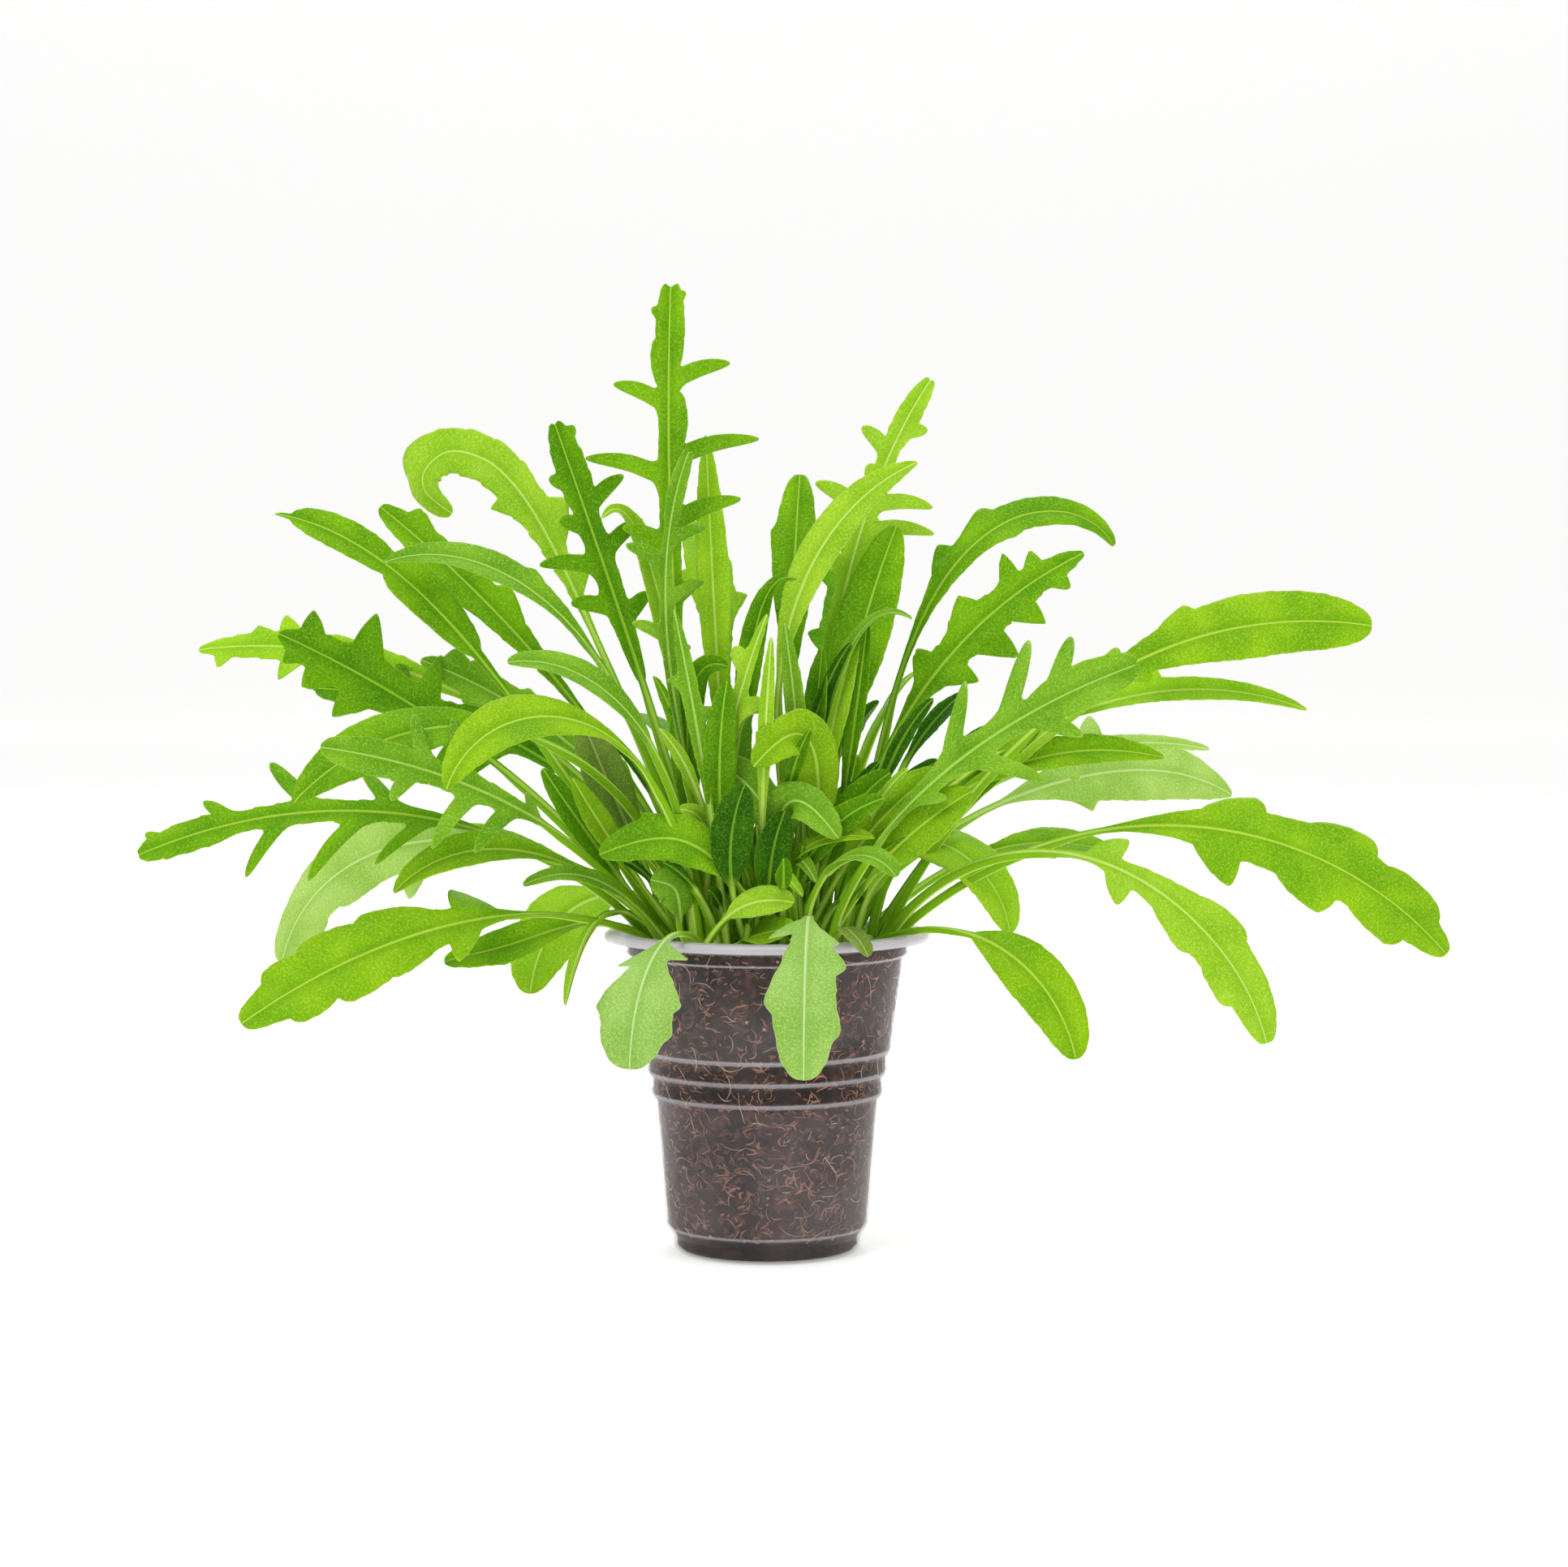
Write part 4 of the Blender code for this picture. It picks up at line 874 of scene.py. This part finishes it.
def peat_finish(settings):
    """Moist peat with shredded coir: nearly black crumbs of about 1 mm, with red-brown and straw-coloured
    fibres 0.1 mm thick, drawn about twice that so that they show."""
    made, tree, shader = new_material("moist_peat_and_coir", Roughness=0.78, IOR=1.4, Specular_IOR_Level=0.3)
    place = add(tree, "TexCoord").node.outputs["Object"]
    broad = add(tree, "TexNoise", Vector=place, Scale=1000 / 9, Detail=3.0, Roughness=0.6)
    crumbs = add(tree, "TexVoronoi", {"feature": "F1"}, Vector=place, Scale=1000 / 1.3).node.outputs["Color"]
    cell = add(tree, "SeparateColor", Color=crumbs)
    brown = add(tree, "MapRange", SMOOTH, broad, 0.35, 0.65)
    colour = add(tree, "Mix", COLOURS, brown, "#15100e", (*settings.colour, 1.0))
    lighter = add(tree, "Math", TIMES, add(tree, "MapRange", SMOOTH, cell, 0.62, 1.0), 0.7)
    colour = add(tree, "Mix", COLOURS, lighter, colour, "#65463a")
    height = add(tree, "Math", TIMES, broad, 0.6)
    # Two sets of fibres: millimetres apart, offset, colour and strength.
    sets = [(3.2, (0, 0, 0), "#7c5546", 0.45), (2.2, (0.7, 0.2, 0.1), "#86604e", 0.4)]
    for size, offset, tint, much in sets:
        line = fibre_lines(tree, place, size, offset)
        colour = add(tree, "Mix", COLOURS, add(tree, "Math", TIMES, line, much), colour, tint)
        height = add(tree, "Math", PLUS, height, add(tree, "Math", TIMES, line, 0.35))
    # Straw flecks, in about one in eight of cells 2.6 mm across.
    flecks = add(tree, "TexVoronoi", {"feature": "F1"}, Vector=place, Scale=1000 / 2.6).node.outputs
    pick = add(tree, "SeparateColor", Color=flecks["Color"]).node.outputs["Green"]
    fleck = add(tree, "Math", TIMES, add(tree, "MapRange", SMOOTH, flecks["Distance"], 0.2, 0.12),
                add(tree, "MapRange", SMOOTH, pick, 0.86, 0.9))
    colour = add(tree, "Mix", COLOURS, fleck, colour, "#a98570")
    # It is darker in the foot and in the groove between the two lower steps of the wall.
    tall = add(tree, "SeparateXYZ", Vector=place).node.outputs["Z"]
    groove = add(tree, "Math", TIMES, add(tree, "MapRange", SMOOTH, tall, 0.0372, 0.0384),
                 add(tree, "MapRange", SMOOTH, tall, 0.0412, 0.0400))
    darker_foot_and_groove = add(tree, "Math", LARGER, groove, add(tree, "MapRange", SMOOTH, tall, 0.0056, 0.0046))
    colour = add(tree, "Mix", COLOURS, add(tree, "Math", TIMES, darker_foot_and_groove, 0.65), colour, "#0c0908")
    tree.links.new(colour, shader.inputs["Base Color"])
    height = add(tree, "Math", PLUS, height, add(tree, "Math", TIMES, cell, 0.3))
    tree.links.new(add(tree, "Bump", Strength=0.9, Distance=0.0006, Height=height), shader.inputs["Normal"])
    return made


def fibre_finish(name, low, high):
    """Dry coir fibre: red-brown to straw, dull."""
    made, tree, shader = new_material(name, Roughness=0.7, IOR=1.45)
    place = add(tree, "TexCoord").node.outputs["Object"]
    noise = add(tree, "TexNoise", Vector=place, Scale=1000 / 5, Detail=1.0)
    colour = add(tree, "Mix", COLOURS, add(tree, "MapRange", SMOOTH, noise, 0.35, 0.65), low, high)
    tree.links.new(colour, shader.inputs["Base Color"])
    return made


def crown_finish():
    """Young stem base: pale green going to a brown, soil-stained root."""
    made, tree, shader = new_material("stem_base_skin", Roughness=0.5, IOR=1.42, Subsurface_Weight=0.1,
                                      Subsurface_Scale=0.001)
    place = add(tree, "TexCoord").node.outputs["Object"]
    tall = add(tree, "SeparateXYZ", Vector=place).node.outputs["Z"]
    noise = add(tree, "TexNoise", Vector=place, Scale=1000 / 1.5, Detail=3.0)
    # The soil's stain ends within 2 mm, unevenly, just above the soil.
    ragged = add(tree, "Math", PLUS, tall, add(tree, "Math", TIMES, noise, 0.002))
    clean = add(tree, "MapRange", SMOOTH, ragged, 0.0715, 0.0735)
    colour = add(tree, "Mix", COLOURS, clean, "#5a4632", "#9db85a")
    tree.links.new(colour, shader.inputs["Base Color"])
    tree.links.new(add(tree, "Bump", Strength=0.4, Distance=0.0002, Height=noise), shader.inputs["Normal"])
    return made


def floor_finish(colour):
    """Matt seamless paper: a very fine fibre grain."""
    made, tree, shader = new_material("seamless_paper", Roughness=0.9, IOR=1.3, Specular_IOR_Level=0.1,
                                      Emission_Color="#ffffff", Emission_Strength=0.42)
    place = add(tree, "TexCoord").node.outputs["Object"]
    grain = add(tree, "TexNoise", Vector=place, Scale=1000 / 1.0, Detail=2.0)
    shade = add(tree, "Mix", {"data_type": "RGBA", "blend_type": "MULTIPLY"}, 0.03, (*colour, 1.0), grain)
    tree.links.new(shade, shader.inputs["Base Color"])
    return made


# ---------------------------------------------------------------- what a user can change

class ArugulaLeafSettings(bpy.types.PropertyGroup):
    detail: FloatProperty(name="Detail", description="Rows of faces on a blade, as a share of the usual",
                          default=1.0, min=0.4, max=1.5, subtype="FACTOR")
    ruffle: FloatProperty(name="Ruffle", description="How far leaf margins wave, as a share of the usual",
                          default=1.0, min=0.0, max=2.0, subtype="FACTOR")
    inner: IntProperty(name="Inner leaves", description="Plain small leaves that fill the plant's middle",
                       default=56, min=0, max=80)


class ArugulaCupSettings(bpy.types.PropertyGroup):
    wall: FloatProperty(name="Wall", description="Thickness of the cup's wall", default=WALL * MM,
                        unit="LENGTH", min=0.0002, max=0.001, precision=5)
    haze: FloatProperty(name="Haze", description="Least opacity of the milky plastic", default=0.02, min=0.0,
                        max=0.5, subtype="FACTOR")
    tint: FloatVectorProperty(name="Plastic", description="Colour of the plastic's haze", subtype="COLOR",
                              size=3, default=linear("#aaa1a3"), min=0.0, max=1.0)


class ArugulaSoilSettings(bpy.types.PropertyGroup):
    colour: FloatVectorProperty(name="Peat", description="Colour of the lighter peat", subtype="COLOR",
                                size=3, default=linear("#33211a"), min=0.0, max=1.0)
    fibres: IntProperty(name="Fibres", description="Loose coir fibres and crumbs", default=4000, min=0,
                        max=6000)


class ArugulaStageSettings(bpy.types.PropertyGroup):
    floor: FloatVectorProperty(name="Floor", description="Colour of the floor", subtype="COLOR", size=3,
                               default=linear("#f4f3f2"), min=0.0, max=1.0)
    distance: FloatProperty(name="Camera distance", description="From the cup's axis to the camera",
                            default=0.8, unit="LENGTH", min=0.3, max=3.0)
    height: FloatProperty(name="Camera height", description="Height of the camera above the floor",
                          default=0.152, unit="LENGTH", min=0.0, max=1.0)
    power: FloatProperty(name="Light", description="Brightness of the studio light, as a share of the usual",
                         default=1.0, min=0.0, max=4.0, subtype="FACTOR")


# ---------------------------------------------------------------- operators

class ARUGULA_OT_leaves(bpy.types.Operator):
    """Make each leaf of the frame as a thin blade with its lobes, teeth, veins and stalk"""

    bl_idname = "arugula.leaves"
    bl_label = "Leaves"

    def execute(self, context):
        settings = context.scene.arugula_leaf
        finishes = leaf_finishes()
        for number, node in enumerate(sorted(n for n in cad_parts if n.startswith("leaf_"))):
            name = node.removeprefix("leaf_")
            look = LOOKS[name]._replace(wave=LOOKS[name].wave * settings.ruffle)
            path = turned_path(frame_path(node), TURNS.get(name, 0))
            path = nudged_path(path, NUDGES.get(name, (0, 0, 0)))
            if name in CURLS:
                path = curled_path(path, *CURLS[name])
            obj = grid_object(f"blade_{name}", *leaf_grid(path, look, 100 + number, settings.detail))
            for made in finishes[look.tint]:
                obj.data.materials.append(made)
            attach(obj, "root")
            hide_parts(node)
        return {"FINISHED"}


class ARUGULA_OT_inner_leaves(bpy.types.Operator):
    """Make the small leaves and young stalks that fill the middle of the plant"""

    bl_idname = "arugula.inner_leaves"
    bl_label = "Inner leaves"

    def execute(self, context):
        settings = context.scene.arugula_leaf
        groups = {}
        kinds = [(SMALLS, SMALL_STALK, SMALL_DETAIL),
                 (self.fillers(settings.inner), FILLER_STALK, FILLER_DETAIL)]
        seed = 500
        for leaves, stalk, detail in kinds:
            for small in leaves:
                path = drawn_path(small.base, small.bend, small.tip, small.face, stalk)
                obj = grid_object(f"inner_{small.name}", *leaf_grid(path, small.look, seed, detail))
                groups.setdefault(small.look.tint, []).append(obj)
                seed += 1
        for tint, objects in groups.items():
            obj = join(objects, f"inner_leaves_{tint}")
            for kind in ("flesh", "underside"):
                obj.data.materials.append(bpy.data.materials[f"leaf_{kind}_{tint}"])
            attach(obj, "root")
        return {"FINISHED"}

    def fillers(self, count):
        """Plain young leaves spread evenly over the soil, short ones in front."""
        chance = np.random.default_rng(7)
        made = []
        for number in range(count):
            angle = number * GOLDEN_ANGLE + chance.uniform(-0.2, 0.2)
            ring = FILLER_RING * math.sqrt((number + 0.5) / count)
            x, y = ring * math.cos(angle), ring * math.sin(angle)
            tall = chance.uniform(0, 1)
            height = (24 + 52 * tall) * (1 - 0.3 * ring / FILLER_RING) * (0.42 if y < -8 else 1.0)
            out = chance.uniform(0.15, 0.75) * height * (0.35 + ring / 30)
            turn = angle + chance.uniform(-0.7, 0.7)
            tip = (x + out * math.cos(turn), y + out * math.sin(turn), 72 + height)
            bend = (x + out * 0.25 * math.cos(turn), y + out * 0.25 * math.sin(turn), 72 + height * 0.75)
            # The shade tint, three in seven of the fillers, is painted shade in the plant's middle.
            tint = ("shade", "bright", "deep", "grey", "shade", "light", "shade")[number % 7]
            shape = ("oval", "spoon", "lance", "oak", "oval")[number % 5]
            width = chance.uniform(2.6, 4.8) * (0.75 + 0.25 * tall)
            lobes = [(9, L, width * 0.75, 3), (14, R, width * 0.8, 3)] if shape == "oak" else []
            face = (chance.uniform(-0.5, 0.5), -1 if y < 12 else 1, chance.uniform(0.2, 0.8))
            look = Look(shape, width, tint, lobes, 0.4, 0.4, 0.14)
            made.append(Small(f"filler_{number}", (x, y, soil_height(ring)), bend, tip, face, look))
        return made


class ARUGULA_OT_crowns(bpy.types.Operator):
    """Make the swollen stem bases that the stalks leave, with a little of the root under the soil"""

    bl_idname = "arugula.crowns"
    bl_label = "Crowns"

    def execute(self, context):
        finish = crown_finish()
        for node in sorted(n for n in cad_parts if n.startswith("crown_")):
            low, high = (np.array(corner) * 1000 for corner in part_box(node))
            centre = (low + high) / 2
            top = high[2]
            profile = rounded([(0.0, top), (1.2, top - 0.2), (1.85, top - 1.2), (1.9, top - 3.4),
                               (1.2, top - 8), (0.7, top - 16), (0.0, low[2] + 0.3)], 0.8)
            obj = spun(f"stem_base_{node[6:]}", profile, 20)
            spots = np.array([v.co for v in obj.data.vertices]) * 1000
            turn = np.arctan2(spots[:, 1], spots[:, 0])
            swell = 1 + 0.06 * np.sin(5 * turn + centre[0]) + 0.05 * np.sin(spots[:, 2] * 1.7)
            spots[:, :2] = spots[:, :2] * swell[:, None] + centre[:2]
            obj.data.vertices.foreach_set("co", (spots * MM).ravel())
            obj.data.materials.append(finish)
            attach(obj, "root")
            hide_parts(node)
        return {"FINISHED"}


# How far the peat and the fibres pressed against the wall stand off its inner face, in millimetres.
PEAT_GAP, FIBRE_GAP = 0.32, 0.05
COIR, CRUMB, STRAW = 0, 1, 2  # as their finishes stand on the mesh


class ARUGULA_OT_soil(bpy.types.Operator):
    """Make the peat that fills the cup, lumpy on top, with coir fibres and crumbs lying on it"""

    bl_idname = "arugula.soil"
    bl_label = "Soil"

    def execute(self, context):
        settings = context.scene.arugula_soil
        gap = WALL + PEAT_GAP
        wall = [point for point in inner_points(gap) if point[1] < SOIL_LEVEL - 0.2]
        side = []
        for (r0, z0), (r1, z1) in zip(wall, wall[1:]):
            count = max(1, int(abs(z1 - z0) / 0.9))
            side += [(r0 + (r1 - r0) * k / count, z0 + (z1 - z0) * k / count) for k in range(count)]
        side.append((wall_radius(SOIL_LEVEL - 0.3, gap), SOIL_LEVEL - 0.3))
        edge = side[-1][0]
        top = [(edge * s, soil_height(edge * s)) for s in np.linspace(0.985, 0, 44)]
        obj = spun("peat", [(0.0, gap)] + side + top, 180)
        spots = np.array([v.co for v in obj.data.vertices]) * 1000
        radius = np.hypot(spots[:, 0], spots[:, 1])
        # Lumps on top, a few millimetres across, and dents down the side where the peat leaves the wall.
        x, y = spots[:, 0].copy(), spots[:, 1].copy()
        lumps = (np.sin(x * 1.9 + 1.3 * np.sin(y * 1.1)) * np.sin(y * 1.7 + 2)
                 + 0.6 * np.sin(x * 4.3 + 1) * np.sin(y * 3.9 + 0.5 * np.sin(x * 2)))
        upper = smoothstep(SOIL_LEVEL - 1.2, SOIL_LEVEL - 0.2, spots[:, 2])
        upper = upper * smoothstep(edge, edge - 2.5, radius)
        spots[:, 2] += lumps * 0.42 * upper
        turn = np.arctan2(y, x) * 26
        dents = (np.sin(turn + 1.4 * np.sin(spots[:, 2] * 0.7)) * np.sin(spots[:, 2] * 0.9)
                 + np.sin(turn * 2.3 + 2) * np.sin(spots[:, 2] * 2.1 + 1))
        shrink = 1 - (0.10 + 0.08 * dents) * (1 - upper) / np.maximum(radius, 5)
        spots[:, :2] *= np.where(radius > 12, shrink, 1)[:, None]
        obj.data.vertices.foreach_set("co", (spots * MM).ravel())
        obj.data.materials.append(peat_finish(settings))
        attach(obj, "root")
        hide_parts("soil")
        self.fibres(settings.fibres)
        return {"FINISHED"}

    def fibres(self, count):
        """Short curved fibres and crumbs, one in six of them on top of the peat and the others against the
        wall. One in three is a crumb, and a few of the fibres are straw, which is longer."""
        chance = np.random.default_rng(3)
        finishes = [fibre_finish("coir_fibre", "#84503c", "#bb8468"),
                    fibre_finish("peat_crumb", "#452a20", "#95604a"),
                    fibre_finish("straw_fibre", "#a59080", "#c8b6a2")]
        vertices, faces, kinds = [], [], []
        for number in range(count):
            on_top, crumb = number % 6 == 0, number % 3 == 1
            kind = CRUMB if crumb else STRAW if number % 13 == 0 else COIR
            angle = chance.uniform(0, 2 * math.pi)
            turn = chance.uniform(0, math.pi)
            if on_top:
                ring = 31.0 * math.sqrt(chance.uniform(0, 1))
                centre = np.array([ring * math.cos(angle), ring * math.sin(angle), soil_height(ring) + 0.15])
                ahead = np.array([math.cos(turn), math.sin(turn), chance.uniform(-0.1, 0.25)])
                out = np.array([0, 0, 1.0])
            else:
                height = 5.5 + (TOP - 9.5) * chance.uniform(0, 1)
                centre = np.array([math.cos(angle), math.sin(angle), 0]) * wall_radius(height, WALL + 0.2)
                centre[2] = height
                out = np.array([math.cos(angle), math.sin(angle), 0])
                level = np.array([-math.sin(angle), math.cos(angle), 0])
                steep = math.sin(turn) * chance.uniform(0.2, 1)
                ahead = level * math.cos(turn) + np.array([0, 0, 1.0]) * steep
                ahead /= np.linalg.norm(ahead)
            if crumb:
                length, thick, steps = chance.uniform(0.5, 1.7), chance.uniform(0.16, 0.40), 2
            else:
                length, thick, steps = chance.uniform(0.8, 3.8), chance.uniform(0.08, 0.16), 5
                length *= 2 if kind == STRAW else 1
            curl = chance.uniform(-0.3, 0.3)
            side = np.cross(ahead, out)
            side /= np.linalg.norm(side)
            start = len(vertices)
            for k in range(steps + 1):
                t = k / steps - 0.5
                middle = centre + ahead * t * length + side * curl * length * (4 * t * t - 1)
                if not on_top:  # the fibre bends with the wall
                    room = float(wall_radius(middle[2], WALL + FIBRE_GAP))
                    middle[:2] *= room / math.hypot(middle[0], middle[1])
                r = thick * (0.3 + 0.7 * math.sin(math.pi * (k + 0.5) / (steps + 1)))
                for q in range(4):
                    a = math.pi * (q / 2 + 0.25)
                    deep = r * (0.5 if not on_top else 1.0)
                    vertices.append(middle + side * math.cos(a) * r + out * (math.sin(a) - 1) * deep)
            for k in range(steps):
                for q in range(4):
                    a, b = start + k * 4 + q, start + k * 4 + (q + 1) % 4
                    faces.append((a, a + 4, b + 4, b))
            faces.append(tuple(start + q for q in range(4)))
            faces.append(tuple(start + steps * 4 + 3 - q for q in range(4)))
            kinds += [kind] * (steps * 4 + 2)
        mesh = bpy.data.meshes.new("coir_fibres")
        mesh.from_pydata([tuple(v * MM) for v in vertices], [], faces)
        obj = bpy.data.objects.new("coir_fibres", mesh)
        bpy.context.scene.collection.objects.link(obj)
        for finish in finishes:
            mesh.materials.append(finish)
        mesh.polygons.foreach_set("material_index", kinds)
        model = bmesh.new()
        model.from_mesh(mesh)
        bmesh.ops.recalc_face_normals(model, faces=model.faces)
        model.to_mesh(mesh)
        model.free()
        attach(obj, "root")


class ARUGULA_OT_cup(bpy.types.Operator):
    """Make the thin cup with its foot, stepped bands, collar and rolled rim"""

    bl_idname = "arugula.cup"
    bl_label = "Cup"

    def execute(self, context):
        settings = context.scene.arugula_cup
        wall = settings.wall / MM
        outer = wall_points()
        inner = inner_points(wall)
        inner[-1] = (COLLAR - wall, TOP - 0.25)
        rim = [(COLLAR + 0.6, TOP), (RIM - 1.0, TOP - 0.05), (RIM - 0.1, TOP - 0.6), (RIM, TOP - 1.3),
               (RIM - 0.25, TOP - 2.0), (RIM - 0.7, TOP - 1.9), (RIM - 0.75, TOP - 1.2),
               (RIM - 1.2, TOP - 0.65), (COLLAR + 0.4, TOP - 0.6)]
        outer[-1] = (COLLAR, TOP - 0.95)
        under = [(outer[0][0] - 0.8, 0.35), (0.0, 0.35)]  # hollow by 0.35 mm inside the ring it stands on
        loop = [(0.0, wall), (inner[0][0] - 4, wall)] + inner + rim + outer[::-1] + under
        obj = spun("cup_shell", rounded(loop, 0.45), 160)
        obj.data.materials.append(plastic_finish(settings))
        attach(obj, "root")
        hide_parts("cup")
        return {"FINISHED"}


class ARUGULA_OT_stage(bpy.types.Operator):
    """Make the pale floor that curves up behind, the soft lights and the camera"""

    bl_idname = "arugula.stage"
    bl_label = "Stage"

    def execute(self, context):
        settings = context.scene.arugula_stage
        deselect()
        bpy.ops.mesh.primitive_plane_add(size=6.0, location=(0, 0, 0))
        floor = bpy.context.object
        floor.name = floor.data.name = "studio_floor"
        bpy.ops.object.mode_set(mode="EDIT")
        bpy.ops.mesh.select_all(action="DESELECT")
        bpy.ops.object.mode_set(mode="OBJECT")
        for edge in floor.data.edges:
            edge.select = all(floor.data.vertices[v].co.y > 2.9 for v in edge.vertices)
        bpy.ops.object.mode_set(mode="EDIT")
        bpy.ops.mesh.select_mode(type="EDGE")
        for step in range(12):
            turn = math.radians(7.5 * (step + 0.5))
            bpy.ops.mesh.extrude_region_move(TRANSFORM_OT_translate={
                "value": (0, 0.16 * math.cos(turn), 0.16 * math.sin(turn))})
        bpy.ops.mesh.extrude_region_move(TRANSFORM_OT_translate={"value": (0, 0, 3.0)})
        bpy.ops.object.mode_set(mode="OBJECT")
        bpy.ops.object.shade_smooth()
        floor.data.materials.append(floor_finish(settings.floor))
        self.lights(settings.power)
        self.camera(settings)
        context.scene.view_settings.view_transform = "Standard"
        return {"FINISHED"}

    def lights(self, power):
        spots = [("key_light", (-0.55, -0.95, 1.05), 0.7, 7.0), ("fill_light", (0.95, -0.75, 0.65), 0.9, 2.5),
                 ("back_light", (0.15, 0.9, 1.0), 0.8, 4.5), ("overhead_light", (0.0, -0.1, 1.5), 0.9, 8.0)]
        for name, place, size, watts in spots:
            data = bpy.data.lights.new(name, "AREA")
            data.shape, data.size, data.energy = "DISK", size, watts * power
            light = bpy.data.objects.new(name, data)
            light.location = place
            light.rotation_euler = (Vector((0, 0, 0.11)) - Vector(place)).to_track_quat("-Z", "Y").to_euler()
            bpy.context.scene.collection.objects.link(light)
        world = bpy.data.worlds.new("pale_studio")
        bpy.context.scene.world = world
        world.use_nodes = True
        background = world.node_tree.nodes["Background"]
        background.inputs["Color"].default_value = (*linear("#f6f7f8"), 1.0)
        background.inputs["Strength"].default_value = 0.5 * power

    def camera(self, settings):
        data = bpy.data.cameras.new("camera")
        data.sensor_width = 36.0
        data.lens = 79.9
        data.clip_start, data.clip_end = 0.01, 50.0
        camera = bpy.data.objects.new("camera", data)
        camera.location = (0.0, -settings.distance, settings.height)
        aim = Vector((0.0039, 0.0, 0.108)) - camera.location
        camera.rotation_euler = aim.to_track_quat("-Z", "Y").to_euler()
        bpy.context.scene.collection.objects.link(camera)
        bpy.context.scene.camera = camera


class ARUGULA_PT_panel(bpy.types.Panel):
    bl_label = "Arugula"
    bl_idname = "ARUGULA_PT_panel"
    bl_space_type = "VIEW_3D"
    bl_region_type = "UI"
    bl_category = "Arugula"

    def draw(self, context):
        scene = context.scene
        for title, operators, settings in (
            ("Leaves", (ARUGULA_OT_leaves, ARUGULA_OT_inner_leaves, ARUGULA_OT_crowns), scene.arugula_leaf),
            ("Cup", (ARUGULA_OT_cup,), scene.arugula_cup),
            ("Soil", (ARUGULA_OT_soil,), scene.arugula_soil),
            ("Stage", (ARUGULA_OT_stage,), scene.arugula_stage),
        ):
            box = self.layout.box()
            box.label(text=title)
            for key in settings.bl_rna.properties.keys():
                if key not in ("rna_type", "name"):
                    box.prop(settings, key)
            for operator in operators:
                box.operator(operator.bl_idname)


SETTINGS = {
    "arugula_leaf": ArugulaLeafSettings,
    "arugula_cup": ArugulaCupSettings,
    "arugula_soil": ArugulaSoilSettings,
    "arugula_stage": ArugulaStageSettings,
}
OPERATORS = (ARUGULA_OT_leaves, ARUGULA_OT_inner_leaves, ARUGULA_OT_crowns, ARUGULA_OT_soil, ARUGULA_OT_cup,
             ARUGULA_OT_stage)


def register():
    for name, group in SETTINGS.items():
        bpy.utils.register_class(group)
        setattr(bpy.types.Scene, name, PointerProperty(type=group))
    for operator in OPERATORS:
        bpy.utils.register_class(operator)
    bpy.utils.register_class(ARUGULA_PT_panel)


def unregister():
    bpy.utils.unregister_class(ARUGULA_PT_panel)
    for operator in reversed(OPERATORS):
        bpy.utils.unregister_class(operator)
    for name, group in SETTINGS.items():
        delattr(bpy.types.Scene, name)
        bpy.utils.unregister_class(group)


def main():
    register()
    bpy.ops.arugula.leaves()
    bpy.ops.arugula.inner_leaves()
    bpy.ops.arugula.crowns()
    bpy.ops.arugula.soil()
    bpy.ops.arugula.cup()
    bpy.ops.arugula.stage()


if __name__ == "__main__":
    main()
